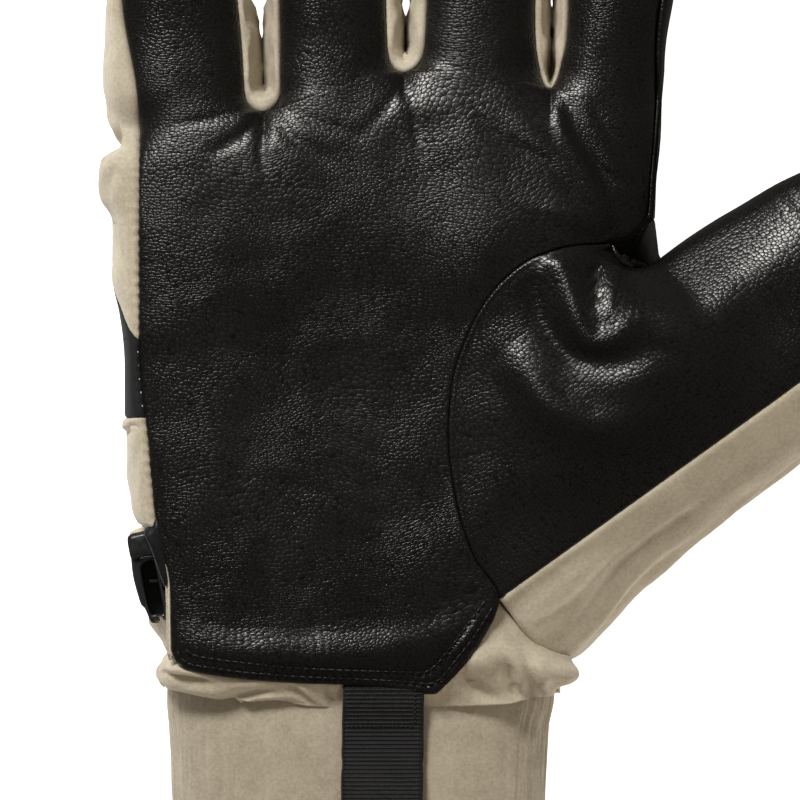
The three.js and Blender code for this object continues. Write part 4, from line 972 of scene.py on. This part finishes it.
# By the distance s along the thumb: its centre and half-width across, its middle height and
# half-height, and the turns in degrees where the leather ends on both sides and the fabric ends
THUMB = {
    "s": [58, 68, 84, 92, 104, 110, THUMB_TIP],
    "centre": [-33.4, -33.6, -34.2, -34.6, -35.4, -35.8, -36.0],
    "half": [24.9, 24.7, 23.6, 22.4, 19.8, 18.6, 17.6],
    "middle": [20.0, 20.0, 20.4, 20.6, 21.4, 22.0, 22.6],
    "rise": [18.0, 17.5, 16.7, 16.2, 15.2, 14.6, 14.0],
    "low": [-25, -25, 2, 6, 2, 0.5, 0.5],
    "high": [117, 117, 117, 124, 150, 179.5, 179.5],
    "under": [335, 335, 290, 290, 350, 359.5, 359.5],
}
THUMB_ROUND = 2.2
THUMB_CREST = 5.0
# Folds of the thumb's leather. A flank that climbs towards the upper left is about 0.4 steep.
THUMB_FOLDS = [
    ([(29.6, 30.5), (32.6, 24.6), (34.2, 19.4), (35.8, 14.4), (38.6, 11.4), (42.6, 12.4), (47, 16)],
     2.6, 1.7),
    ([(25.8, 25.6), (27.6, 18.4), (30.4, 12.6), (35.0, 8.4), (42, 7.4), (50, 9.8)], 2.6, -1.4),
    ([(41.2, 31), (39.4, 26), (38.6, 21), (38.6, 16.4)], 3.0, -1.0),
    ([(20, 10.5), (25.4, 4.4), (31, -2.6), (38.6, -6.4), (48, -6.0), (56, -2)], 4.4, 3.0),
    ([(43, 28), (50, 26.5), (57, 29.5), (64, 35), (72, 41), (80, 47)], 10.0, -5.4),
    ([(55, 8), (58, 14), (62, 18), (69, 24)], 9.0, 2.8),
    ([(55.0, 29), (56.4, 24), (58.2, 18.4), (60, 14)], 1.8, -0.9),
    ([(43, 29.6), (46, 27.0), (50, 27.6)], 1.3, -0.4),
    ([(39.6, 27), (37.6, 24)], 0.7, -0.5),
    ([(40, 24), (37.4, 21)], 0.7, -0.5),
    ([(40.4, 21.6), (37.8, 18.6)], 0.7, -0.4),
]
WEB_START = 59.0
BALL_ROWS = 110
# The column of the ball of the thumb where its round seam comes near the web
WEB_COLUMN = 140


def thumb(column, s):
    """One column of the thumb's table at a place along it."""
    return along(THUMB, "s", column, s)


def thumb_ring(s, degrees):
    """The thumb's round surface: a squarish ring about an axis that leans out, squarest beside the
    index finger, closed at the tip over the last 12 mm as a quarter circle does."""
    turn = np.radians(degrees)
    dome = np.sqrt(1 - (1 - np.clip((THUMB_TIP - s) / 12, 0, 1)) ** 2)
    beside_index = (np.cos(turn) > 0) & (np.sin(turn) > 0)
    wide, high = squarish(turn, np.where(beside_index, THUMB_CREST, THUMB_ROUND))
    rise = thumb("rise", s) * dome * high
    apart = np.where(high < 0, -0.1, 0.1)
    n = thumb("centre", s) + thumb("half", s) * mix(0.4, 1, dome) * wide
    x = s * np.cos(THUMB_LEAN) - n * np.sin(THUMB_LEAN)
    y = s * np.sin(THUMB_LEAN) + n * np.cos(THUMB_LEAN)
    z = np.maximum(thumb("middle", s) + np.where(np.abs(rise) < 0.1, apart, rise), 0)
    return points_at(x, y, z)


ARC = {"v": [0, 0.28, 0.52, 0.7, 1], "share": [0, 0.50, 0.92, 0.975, 1]}


def thumb_arc(v):
    """The round seam on the palm, wrist end first. Its end beside the web is drawn together."""
    row = mix(3, WEB_ROW, along(ARC, "v", "share", v))
    x, y = palm_row("right_x", row), palm_row("right_y", row)
    return points_at(x, y, palm_form(x, y))


def thumb_ball(u, v):
    """The ball of the thumb: straight from the round seam to the thumb's first ring, raised into a
    mound, which is steepest at the seam beside the web, with the web's edge hanging in."""
    u, v = np.broadcast_arrays(u, v)
    ring = thumb_ring(WEB_START, mix(thumb("high", WEB_START), thumb("low", WEB_START), v))
    point = mix(thumb_arc(v), ring, u[..., None])
    mound = mix(5.5 * np.sin(np.pi * u**1.5), 30.0 * u * (1 - u) ** 4, ease(0.32, 0.48, v))
    point[..., 2] += mound * edge_fade(v, 0.2)
    point[..., 1] -= 3.4 * np.maximum(np.sin(np.pi * u), 0) ** 0.8 * ease(0.3, 0.6, v)
    fade = edge_fade(v, 0.22) * ease(0, 0.12, u)
    point[..., 2] += folds_at(point[..., 0], point[..., 1], THUMB_FOLDS) * fade
    return point


def thumb_front(s, v):
    """The leather on the thumb beyond its first ring."""
    s, v = np.broadcast_arrays(s, v)
    point = thumb_ring(s, mix(thumb("high", s), thumb("low", s), v))
    point[..., 2] += folds_at(point[..., 0], point[..., 1], THUMB_FOLDS) * edge_fade(v, 0.22)
    return point


thumb_finish = leather_finish("goat_leather_thumb", -0.65, 1.3)
v = steps(190, 0.3)[None, :]
u = steps(BALL_ROWS, 0.3)[:, None]
s = mix(WEB_START, THUMB_TIP, steps(80, 0.3))[:, None]
ball, front = thumb_ball(u, v), thumb_front(s, v)
skin = np.concatenate([ball, front[1:]])
near_ring = 1 - ease(14, 34, np.abs(np.arange(len(skin)) - BALL_ROWS))
soft = near_ring[1:-1, None, None] * edge_fade(v, 0.1)[..., None]
for _ in range(90):
    skin[1:-1] = mix(skin[1:-1], (skin[:-2] + 2 * skin[1:-1] + skin[2:]) / 4, soft)
ball, front = skin[: BALL_ROWS + 1], skin[BALL_ROWS:]
ball_soft = 0.25 * uneven(ball[..., 0], ball[..., 1], 9.0, 51) * edge_fade(v, 0.05) * ease(0, 0.05, u)
front_soft = 0.25 * uneven(front[..., 0], front[..., 1], 9.0, 51) * edge_fade(v, 0.05)
thumb_leather = sewn("thumb_leather_skin", [(ball, ball_soft), (front, front_soft)],
    [(ball[0, :WEB_COLUMN], 0.6, 0.3, 0.04, 0.2), (ball[0, WEB_COLUMN:], 0.6, 0.3, 0, 0),
     (run_on(ball, front, 0), 0.7, 0.3, 0.12, 0),
     (run_on(ball, front, -1), 1.1, 0.6, 0.05, 0)],
    (45, 10, 10), LEATHER_WALL, thumb_finish, ["thumb_leather"])

THUMB_SEAM = {
    "v": [0, 0.12, 0.22, 0.30, 0.37, 0.44],
    "x": [20.0, 24.5, 29.1, 33.5, 35.6, 33.7],
    "y": [-39.7, -46.1, -50.7, -52.6, -51.6, -48.6],
    "z": [36.2, 34.4, 30.8, 22.0, 8.5, 0.4],
}
UNDER_START = 0.44
UNDER_END = 29.0
UNDER_FOLDS = [
    # as (along the thumb, round it in mm), half-width, height
    ([(4, 22), (16, 17), (30, 14)], 1.8, -0.5),
    ([(0, 31), (9, 27), (18, 24)], 1.7, 1.1),
    ([(1, 36), (12, 31), (22, 27)], 1.3, -1.2),
    ([(10, 36), (22, 31), (36, 26)], 1.8, 0.9),
    ([(26, 34), (34, 29), (42, 24)], 1.6, -0.9),
    ([(0, 12), (8, 14), (18, 13)], 1.6, 0.35),
]


def thumb_start(v):
    """The seam at the wrist and along the back that the thumb's fabric starts from."""
    t = np.clip((v - UNDER_START) / (1 - UNDER_START), 0, 1)
    y = mix(along(THUMB_SEAM, "v", "y", UNDER_START), UNDER_END, t)
    under = points_at(along(BACK_RIGHT, "y", "x", y), y, 0.4 + 3.2 * t**4)
    over = np.stack([along(THUMB_SEAM, "v", name, v) for name in "xyz"], axis=-1)
    return np.where((v < UNDER_START)[..., None], over, under)


def under_turn(s, v):
    """The turn round the thumb at which its fabric lies."""
    return mix(np.minimum(thumb("high", s), 180.5), np.minimum(thumb("under", s), 359.5), v)


def thumb_under(u, v):
    """The fabric from its seam to the thumb's first ring, in a straight loft that starts on the
    leather's lower edge and so follows its mound there. Its outer side is let in a little."""
    u, v = np.broadcast_arrays(u, v)
    point = mix(thumb_start(v), thumb_ring(WEB_START, under_turn(WEB_START, v)), u[..., None])
    let_in = ease(0.15, 0.36, u) * (1 - ease(0.35, 0.95, u))
    let_in = let_in * ease(0.02, 0.15, v) * (1 - ease(0.5, 0.8, v))
    return point + 2.0 * let_in[..., None] * np.array([-0.65, 0.76, 0])


v = [mix(0, UNDER_START, steps(60, 0.4)), mix(UNDER_START, 1, steps(60, 0.3))[1:]]
v = np.concatenate(v)[None, :]
u = steps(90, 0.3)[:, None]
low = thumb_under(u, v)
edge = thumb_ball(u, 0.0)
low += (edge - low[:, :1]) * (1 - ease(0, 0.06, v))[..., None]
high = thumb_ring(s, under_turn(s, v))
length = mix(0, 42, u)
free = ease(0, 0.05, v) * (1 - ease(0.36, 0.44, v)) * ease(0, 0.06, u)
low_height = folds_at(length + 0 * v, 110 * v + 0 * length, UNDER_FOLDS)
low_height += 0.5 * uneven(length + 0 * v, 110 * v + 0 * length, 8.0, 61)
high_height = 0.5 * uneven(s - WEB_START + 42, 110 * v + 0 * s, 8.0, 61)
thumb_cloth = sewn("thumb_under_cloth", [(low, low_height * free), (high, high_height * ease(0, 0.05, v))],
    [(run_on(low, high, 0), 1.0, 0.5, 0.25, 0.1),
     (low[0, :61], 1.3, 0.6, 0.05, 0.1),
     (run_on(low, high, -1), 1.1, 0.5, 0.08, 0)],
    (45, 5, 24), FABRIC_WALL, stone, ["thumb_fabric"])

s = mix(72.0, 104.0, steps(50, 0.4))[:, None]
v = steps(60, 0.4)[None, :]
panel = thumb_ring(s, mix(thumb("low", s), thumb("under", s) - 360, v))
thumb_panel = sewn("thumb_panel_cloth", [(panel, 0)],
    [(panel[:, 0], 1.0, 0.5, 0.06, 0), (panel[:, -1], 1.0, 0.5, 0.06, 0)],
    (76, 18, 20), FABRIC_WALL, charcoal, ["thumb_panel"])

# The web piece: a scrap of leather between the index finger and the thumb. Its upper edge follows
# the palm and the index finger's side, and its lower one rolls over the thumb and then under it.
WEB_ROLL = [(42.3, 30.9), (43.0, 29.4), (44.3, 27.7), (46.4, 26.4)]
WEB_GROOVE = [(50.7, 38, 24), (50.9, 34, 24), (51.2, 30, 23)]
WEB_END = [(50.6, 30.0, 8.0), (50.0, 31.0, 5.0)]
WEB_COLUMNS = 90
beside_palm = palm_surface(np.linspace(WEB_ROW + 0.02, INDEX_ROW, 12), 1.0)
upper = bend(np.concatenate([beside_palm, low_side[0, 2::3]]), WEB_COLUMNS)
share = np.linspace(0, 1, 60)
lower = thumb_ball(0.94 * share, 0.985 + 0 * share)
lower[:, 2] -= 2.4
lower[:, 1] += 0.5 * ease(0.3, 0.55, share)
lower = bend(np.concatenate([lower, WEB_END]), WEB_COLUMNS)
u = steps(26, 0.4)[:, None, None]
web = mix(lower[None], upper[None], u)
web[..., 2] += 0.5 * np.sin(np.pi * u[..., 0]) * ease(0, 0.12, np.linspace(0, 1, WEB_COLUMNS)) - 0.3
web_piece = sewn("web_leather_skin", [(web, 0)],
    [(web[0], 0.9, 0.5, 0, 0.3), (web[-1], 0.9, 0.5, 0, 0), (bend(WEB_GROOVE, 60), 0.6, 0.5, 0, 0)],
    (40, 33, 0), FABRIC_WALL, thumb_finish, ["web_gusset"])


def rolled_edge(line, radius):
    """A rolled edge: half a tube over a line, thickest at its middle as the root of a sine is."""
    path = bend(line, 60)
    way = np.gradient(path, axis=0)
    side = np.stack([-way[:, 1], way[:, 0], 0 * way[:, 0]], -1)
    side /= np.linalg.norm(side, axis=1, keepdims=True)
    thick = radius * np.sin(np.pi * np.linspace(0.02, 0.98, 60)) ** 0.5
    turn = np.linspace(0, np.pi, 13)[None, :, None]
    ring = np.cos(turn) * side[:, None] + np.sin(turn) * (0, 0, 1)
    return path[:, None] + thick[:, None, None] * ring


near = ball.reshape(-1, 3)
roll_z = [near[np.hypot(near[:, 0] - x, near[:, 1] - y) < 0.7, 2].max() for x, y in WEB_ROLL]
roll_line = np.c_[WEB_ROLL, np.linspace(roll_z[0], roll_z[-1], 4) - (0.3, 0, 0.1, 0.4)]
web_roll = sewn("web_leather_roll", [(rolled_edge(roll_line, 0.6), 0)], [],
    (44.5, 28, -100), 0.4, thumb_finish, ["web_gusset"], 0.3)

# The wrist: stretch fabric that is tucked under the hem, puffs out in loose folds and is gathered
# into the cuff, which is the same fabric over elastic, drawn up in fine upright folds.
WRIST_EDGE = {
    "x": [-48, -43, -40, -22, -2, 6, 12, 18.6, 24, 28, 32, 36],
    "y": [-48.6, -50.6, -51.6, -52.6, -53.6, -53.4, -47.2, -38.6, -43.4, -47.6, -50.2, -51.4],
}
WRIST_OUTLINE = {
    "y": [-61, -59.2, -58.2, -57.2, -56.6, -55.4, -54.2, -52.4, -50, -48],
    "left": [-46.4, -46.8, -46.9, -47.3, -48.1, -48.8, -48.7, -47.8, -46.4, -45.6],
    "right": [30.7, 30.9, 31.2, 32.4, 34.4, 35.8, 35.6, 34.6, 33.8, 33.0],
}
GATHER_LINE = {
    "x": [-49, -47, -44.5, -40, -36.8, -33.8, -30.8, -25, -22.5, -20, -17.5, -12, 5, 16, 25, 31, 36],
    "y": [-57.4, -57.8, -58.4, -59.3, -59.7, -59.4, -60.1, -59.8, -60.1, -60.7, -61.0, -61.2, -61.0,
          -61.2, -60.8, -59.6, -58.8],
}
WRIST_FOLDS = [
    # as (x, y), half-width, height
    ([(-47, -54.6), (-44, -55.5), (-41, -56.0), (-37.6, -56.4)], 0.8, -1.6),
    ([(-47, -53.6), (-43, -54.2), (-38, -55.2)], 0.8, 0.7),
    ([(-47.5, -56.8), (-42, -57.4), (-37, -58.2), (-32, -57.0), (-27, -56.6)], 1.2, 0.9),
    ([(-33.4, -59.6), (-30.8, -58.8), (-27.6, -58.0), (-25, -57.8)], 0.6, -0.9),
    ([(-31.6, -60.2), (-27, -58.9), (-22, -58.8), (-17, -60.4)], 0.8, 0.9),
    ([(-22.4, -56.8), (-20.0, -58.6), (-17.0, -60.4)], 0.6, -1.1),
    ([(-21.0, -56.4), (-18.4, -58.6), (-15.4, -60.8)], 0.7, 0.7),
    ([(-16.4, -56.4), (-14.4, -59), (-12.6, -61.4)], 0.6, -1.0),
    ([(14.4, -50.8), (18.8, -54.6)], 1.9, 1.1),
    ([(11.6, -53.4), (14.6, -57.2), (19.6, -60.2)], 1.2, -1.4),
    ([(21.4, -52.4), (22.0, -55.8), (23.4, -60)], 0.9, -1.2),
    ([(24.2, -49.6), (26.2, -54.4), (26.4, -60)], 1.1, -1.3),
    ([(23.2, -51.6), (24.2, -56), (25, -59)], 0.9, 0.8),
    ([(27.6, -52.2), (28.6, -56.4), (29.2, -59.5)], 1.2, 1.1),
]


def wrist_ring(y, turn, inset):
    """The wrist's rounded section at a place, between its outlines, with its upper side let in."""
    wide, high = squarish(turn, np.where(np.sin(turn) > 0, PALM_ROUND, HAND_ROUND))
    left, right = along(WRIST_OUTLINE, "y", "left", y), along(WRIST_OUTLINE, "y", "right", y)
    rise = np.where(high > 0, hand("rise", y) - inset, hand("middle", y) - 1.6)
    x = mix(left, right, (1 + wide) / 2)
    return points_at(x, y, hand("middle", y) + rise * high)


turns = np.linspace(0, 2 * np.pi, 401)[None, :]
across = wrist_ring(-54.0, turns, 3)[..., 0]
above = ease(-0.2, 0.1, np.sin(turns))
u = steps(56)[:, None]
start = mix(-52.6, along(WRIST_EDGE, "x", "y", across), above)
y = mix(start, along(GATHER_LINE, "x", "y", across), u)
inset = 2.6 - 1.9 * np.sin(0.5 * np.pi * ease(0.05, 0.6, u)) + 2.2 * ease(0.45, 1, u)
inset = inset + 0.8 * edge_fade((across + 14) / 21, 0.25)
grid = wrist_ring(y, turns, inset)
height = folds_at(grid[..., 0], grid[..., 1], WRIST_FOLDS) * above * ease(0.05, 0.25, u)
height += 0.4 * uneven(turns * 27 + 0 * u, y + 0 * turns, 3.4, 71) * ease(0.2, 0.5, u)
wrist = sewn("wrist_cloth", [(grid, height)], [],
    (-7, -56, 17), FABRIC_WALL, stone, ["wrist_fabric"])

CUFF_END = -112.0
CUFF_START = -56.5
CUFF = {
    "y": [CUFF_END, -86, -66, -61, CUFF_START],
    "left": [-45.4, -45.6, -46.4, -46.9, -46.8],
    "right": [28.4, 28.8, 29.6, 30.6, 30.9],
    "top": [36.5, 34.5, 33.0, 32.4, 32.2],
}
cuff_turns = np.linspace(0, 2 * np.pi, 601)[None, :]
y = np.linspace(CUFF_END, CUFF_START, 51)[:, None]
wide, high = squarish(cuff_turns, 2.4)
left, right = along(CUFF, "y", "left", y), along(CUFF, "y", "right", y)
middle = along(CUFF, "y", "top", y) / 2
place = mix(left, right, (1 + wide) / 2)
around = cuff_turns * 32 + 40
drawn = uneven(around, 0.07 * y, 1.3, 81) + 0.5 * uneven(around, 0.1 * y, 0.6, 82)
strong = 0.07 + 0.16 * (1 - ease(-45, -18, place)) + 0.24 * ease(17, 28, place)
strong = strong * mix(0.25, 1, ease(-60, -66, y) + ease(16, 24, place) * (1 - ease(-60, -66, y)))
strong = np.where(np.sin(cuff_turns) > 0, strong, 0.2)
gather = drawn * strong * ease(CUFF_END, CUFF_END + 3, y)
x = place + gather * wide
z = np.maximum(middle + (middle + gather * np.where(high > 0, 1, 0.2)) * high, 0)
cuff = points_at(x, y, z)
# The cuff's weave is the stone weave in darker colours.
cuff_weave = weave_finish("stone_cuff_weave", (0.32, 0.277, 0.207), (0.48, 0.430, 0.340), 0.42, 0.35, 0.9, 0.12)
cuff_piece = sewn("cuff_cloth", [(cuff, 0)], [(cuff[0], 1.2, 0.8, 0, 0)],
    (-8, -86, 17), FABRIC_WALL, cuff_weave, ["cuff"])

# The pull tab: ribbed black webbing, 16 mm wide, that comes out from under the hem and lies on the
# cuff. The tape beside the clip is the same webbing, narrower.
webbing = weave_finish("black_webbing", (0.004, 0.004, 0.005), (0.012, 0.012, 0.013), 0.45, 3.0, 0.42, 0.1)
TAB_TOP = {
    "y": [CUFF_END, -86, -66, -63, -60, -57.6, -56, -53],
    "z": [38.3, 36.3, 34.6, 34.8, 35.2, 35.2, 34.6, 34.0],
}
y = np.linspace(-54.0, CUFF_END + 1, 480)[:, None]
v = steps(24, 0.5)[None, :]
x = mix(-11.5, 4.8, v) + 0.012 * (y + 60) + 0.12 * uneven(y + 0 * v, v, 2.2, 91) * (1 - 2 * v)
ribs = 0.17 * np.abs(np.sin(np.pi * y / 0.82)) ** 1.5 * ease(0, 0.05, v) * (1 - ease(0.95, 1, v))
tab = points_at(x, y, along(TAB_TOP, "y", "z", y) + ribs)
sewn("pull_tab_webbing", [(tab, 0)], [(tab[:, 0], 0.5, 0.3, 0, 0), (tab[:, -1], 0.5, 0.3, 0, 0)],
    (-4, -80, 0), 1.2, webbing, ["pull_tab"], 0.5)

# The clip: a moulded plastic buckle half seen edge on. A head is moulded on a frame round a deep
# slot, with a thin bar across it and an open foot. Its edges are rounded.
plastic = Finish("black_plastic")
scuff = plastic.put("TexNoise", {
    "Vector": plastic.put("TexCoord", {})["Object"], "Scale": 900.0, "Detail": 3.0})["Fac"]
plastic.fill(plastic.shader, {
    "Base Color": plastic.two(scuff, (0.012, 0.012, 0.013), (0.022, 0.022, 0.024)),
    "Roughness": plastic.ramp(scuff, 0.3, 0.7, 0.26, 0.42),
    "Normal": plastic.put("Bump", {"Height": scuff, "Strength": 0.1, "Distance": 0.00005})["Normal"],
})
FRAME_EDGE = [
    # the frame's outline, and the slot's opposite it
    (-54.05, -30.6, -51.2, -32.6), (-51.5, -30.3, -50.6, -32.2), (-48.9, -30.4, -49.4, -32.1),
    (-48.5, -31.8, -49.2, -32.6), (-47.8, -33.9, -48.75, -34.3), (-47.1, -36.8, -48.2, -37.0),
    (-46.65, -39.6, -47.75, -39.7), (-46.15, -43.2, -47.3, -42.3), (-46.35, -43.8, -47.45, -42.75),
    (-47.0, -44.2, -47.7, -42.85), (-47.35, -44.05, -47.8, -42.85), (-47.7, -43.35, -48.0, -42.85),
    (-48.6, -43.35, -48.7, -42.85), (-48.35, -44.4, -49.3, -42.9), (-48.7, -44.75, -49.6, -42.9),
    (-49.8, -44.65, -49.9, -42.8), (-50.1, -44.2, -50.1, -42.5), (-51.15, -41.7, -50.5, -40.9),
    (-51.55, -41.4, -50.65, -40.2), (-52.0, -40.9, -50.8, -39.4), (-52.8, -38.3, -51.15, -37.6),
    (-53.6, -35.2, -51.55, -35.2), (-53.95, -31.6, -51.75, -33.6),
]
HEAD_EDGE = [
    (-54.6, -28.6), (-54.6, -27.5), (-54.2, -27.0), (-53.4, -26.75), (-52.2, -26.5), (-50.9, -26.15),
    (-50.4, -26.3), (-49.9, -27.3), (-49.2, -29.2), (-48.75, -30.7), (-48.95, -31.05), (-50.4, -31.25),
    (-52.0, -31.6), (-53.2, -32.3), (-54.0, -31.8),
]
STEP_EDGE = [
    (-52.2, -31.5), (-50.4, -31.15), (-48.9, -31.0), (-48.8, -31.35), (-50.3, -31.6), (-52.1, -32.0),
]
BAR_EDGE = [(-50.6, -36.0), (-48.2, -35.9), (-48.1, -36.6), (-50.5, -36.7)]
# Rings of a block as (height, share of the way from the inner outline to the outer one)
FRAME_RINGS = [
    (13, 0), (13, 0.94), (13.3, 1), (14, 1), (24.2, 1), (25.6, 0.95), (26.6, 0.82), (27.2, 0.6),
    (27.4, 0.35), (27.3, 0.14), (27.0, 0.03), (26.6, 0), (20, 0), (19.4, 0),
]
SOLID_RINGS = [
    (0, 0), (0, 0.9), (0.03, 1), (0.5, 1), (0.80, 1), (0.92, 0.95), (0.985, 0.84), (1, 0.6), (1, 0),
]


def block(outer, inner, rings):
    """A moulded block. Both outlines are cut in fine steps and their corners are averaged round, and
    each ring lies between them at its height. Flat faces close the first and the last ring."""
    def fine(points):
        points = np.array(points, float)
        after = np.roll(points, -1, axis=0)
        line = mix(points[:, None], after[:, None], np.arange(6)[None, :, None] / 6).reshape(-1, 2)
        one_off = np.roll(line, 1, 0) + np.roll(line, -1, 0)
        return (np.roll(line, 2, 0) + one_off + line + np.roll(line, -2, 0)) / 5

    outer, inner = fine(outer), fine(inner)
    count = len(outer)
    points = np.concatenate([np.c_[mix(inner, outer, share), np.full(count, z)] for z, share in rings])
    ring, place = np.meshgrid(np.arange(len(rings) - 1), np.arange(count), indexing="ij")
    after = (place + 1) % count
    faces = np.stack([ring * count + place, ring * count + count + place,
                      ring * count + count + after, ring * count + after], -1).reshape(-1, 4).tolist()
    last = (len(rings) - 1) * count
    faces += [list(range(count)), list(range(last + count - 1, last - 1, -1))]
    return points, faces


def moulded(name, blocks, finish, node):
    """Joins blocks into one piece."""
    points, faces = [], []
    for block_points, block_faces in blocks:
        start = sum(len(one) for one in points)
        points.append(block_points)
        faces += [[start + corner for corner in face] for face in block_faces]
    piece = new_piece(name, np.concatenate(points), faces, finish)
    piece.data.polygons.foreach_set("use_smooth", [len(face) == 4 for face in faces])
    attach(piece, "root")
    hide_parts(node)
    return piece


def solid(edge, low, high):
    """A block with a full top, whose inner outline is a tenth of its outer one."""
    middle = np.mean(edge, axis=0)
    rings = [(mix(low, high, part), share) for part, share in SOLID_RINGS]
    return block(edge, mix(middle, np.array(edge), 0.1), rings)


frame_edge = np.array(FRAME_EDGE)
moulded("clip_buckle", [
    block(frame_edge[:, :2], frame_edge[:, 2:], FRAME_RINGS),
    solid(HEAD_EDGE, 14, 28.4), solid(STEP_EDGE, 26.5, 28.0), solid(BAR_EDGE, 22.5, 24),
], plastic.material, "clip_body")
TAPE_EDGE = [
    (-51.3, -26.3), (-50.5, -25.3), (-49.6, -24.4), (-49.0, -23.2), (-48.2, -22.7), (-47.4, -26),
    (-46.7, -30), (-46.1, -34), (-45.6, -37.2), (-46.2, -37.7), (-46.8, -37.8), (-47.6, -36),
    (-48.6, -33), (-49.8, -29.5),
]
moulded("clip_tape", [solid(TAPE_EDGE, 14.5, 35.6)], webbing, "clip_webbing")

# Stitches: bonded black thread along the hem and on the tab, and small white ones beside the side
# panel. Each stitch is a short bead that dips into the leather at both ends.


BEAD_RINGS = 5
BEAD_SIDES = 6


def stitches(name, line, height, pitch, length, thick, finish):
    """Beads along a line: each is a tube of a few rings, thick in the middle, along the line."""
    path = bend(line, 600)
    run = np.concatenate([[0], np.cumsum(np.linalg.norm(np.diff(path, axis=0), axis=1))])
    at = np.arange(pitch / 2, run[-1], pitch)
    centre = np.stack([np.interp(at, run, path[:, 0]), np.interp(at, run, path[:, 1])], -1)
    ahead = np.stack([np.interp(at + 0.2, run, path[:, 0]), np.interp(at + 0.2, run, path[:, 1])], -1)
    behind = np.stack([np.interp(at - 0.2, run, path[:, 0]), np.interp(at - 0.2, run, path[:, 1])], -1)
    z = height(centre[:, 0], centre[:, 1])
    slope = height(ahead[:, 0], ahead[:, 1]) - height(behind[:, 0], behind[:, 1])
    way = np.c_[ahead - behind, slope]
    way /= np.linalg.norm(way, axis=1, keepdims=True)
    side = np.cross([0, 0, 1], way)
    side /= np.linalg.norm(side, axis=1, keepdims=True)
    out = np.cross(way, side)
    reach = np.linspace(-1, 1, BEAD_RINGS)
    turn = np.linspace(0, 2 * np.pi, BEAD_SIDES + 1)[:-1]
    swell = np.sqrt(np.maximum(1 - reach**2, 0.06))
    lift = 0.5 * (1 - reach**2) - 0.25
    wide = thick / 2 * swell[:, None] * np.cos(turn)
    high = thick / 2 * (swell[:, None] * np.sin(turn) + lift[:, None])
    points = (
        np.c_[centre, z][:, None, None, :]
        + (reach * length / 2)[None, :, None, None] * way[:, None, None, :]
        + wide[None, :, :, None] * side[:, None, None, :]
        + high[None, :, :, None] * out[:, None, None, :]
    )
    count = len(at)
    ring, around = np.meshgrid(np.arange(BEAD_RINGS - 1), np.arange(BEAD_SIDES), indexing="ij")
    beyond = (around + 1) % BEAD_SIDES
    here, next_ring = ring * BEAD_SIDES, (ring + 1) * BEAD_SIDES
    tube = np.stack([here + around, next_ring + around, next_ring + beyond, here + beyond], -1)
    tube = tube.reshape(-1, 4)[:, ::-1]
    each = BEAD_RINGS * BEAD_SIDES
    faces = (tube[None] + each * np.arange(count)[:, None, None]).reshape(-1, 4).tolist()
    for first in range(0, each * count, each):
        faces.append(list(range(first, first + BEAD_SIDES)))
        faces.append(list(range(first + each - 1, first + each - BEAD_SIDES - 1, -1)))
    piece = new_piece(name, points.reshape(-1, 3), faces, finish)
    piece.data.polygons.foreach_set("use_smooth", np.ones(len(faces), bool))
    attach(piece, "root")
    return piece


def thread_finish(name, colour, rough):
    """Twisted thread: fine bands across its run, its colour darker in the grooves between them, a painted
    shade.
    """
    made = Finish(name)
    twist = made.put("TexWave", {
        "Vector": made.put("TexCoord", {})["Object"], "Scale": 1400.0, "Distortion": 1.0},
        bands_direction="DIAGONAL")["Fac"]
    # The thread's colour is darker in the grooves of its twist: painted shade.
    made.fill(made.shader, {
        "Base Color": made.two(twist, tuple(0.6 * c for c in colour), colour),
        "Roughness": rough,
        "Normal": made.put("Bump", {"Height": twist, "Strength": 0.4, "Distance": 0.00005})["Normal"],
    })
    return made.material


def palm_skin(x, y):
    """Height of the finished palm."""
    return palm_form(x, y) + palm_detail(x, y)


black_thread = thread_finish("black_thread", (0.008, 0.008, 0.0085), 0.5)
white_thread = thread_finish("white_thread", (0.7, 0.69, 0.66), 0.6)
for number, row in enumerate(HEM_ROWS):
    stitches(f"hem_stitches_{number + 1}", row, lambda x, y: palm_skin(x, y) + 0.2, 1.6, 1.35, 0.42,
             black_thread)
BOX_STITCH = [(3.0, -56.5), (3.0, -64.6)]
BOX_FOOT = [(2.8, -65.0), (-10.6, -65.0)]
for number, row in enumerate((BOX_STITCH, BOX_FOOT)):
    stitches(f"tab_stitches_{number + 1}", row, lambda x, y: along(TAB_TOP, "y", "z", y) + 0.18, 0.9, 0.8,
             0.4, black_thread)

marks_y = np.array([10.9, 8.3, 5.4, 0.1, -2.6])
marks = np.stack([leather_left(marks_y) - 0.3, marks_y], -1)
stitches("side_stitches", marks, lambda x, y: palm_form(leather_left(y), y) - 0.35, 2.7, 0.55, 0.34,
         white_thread)
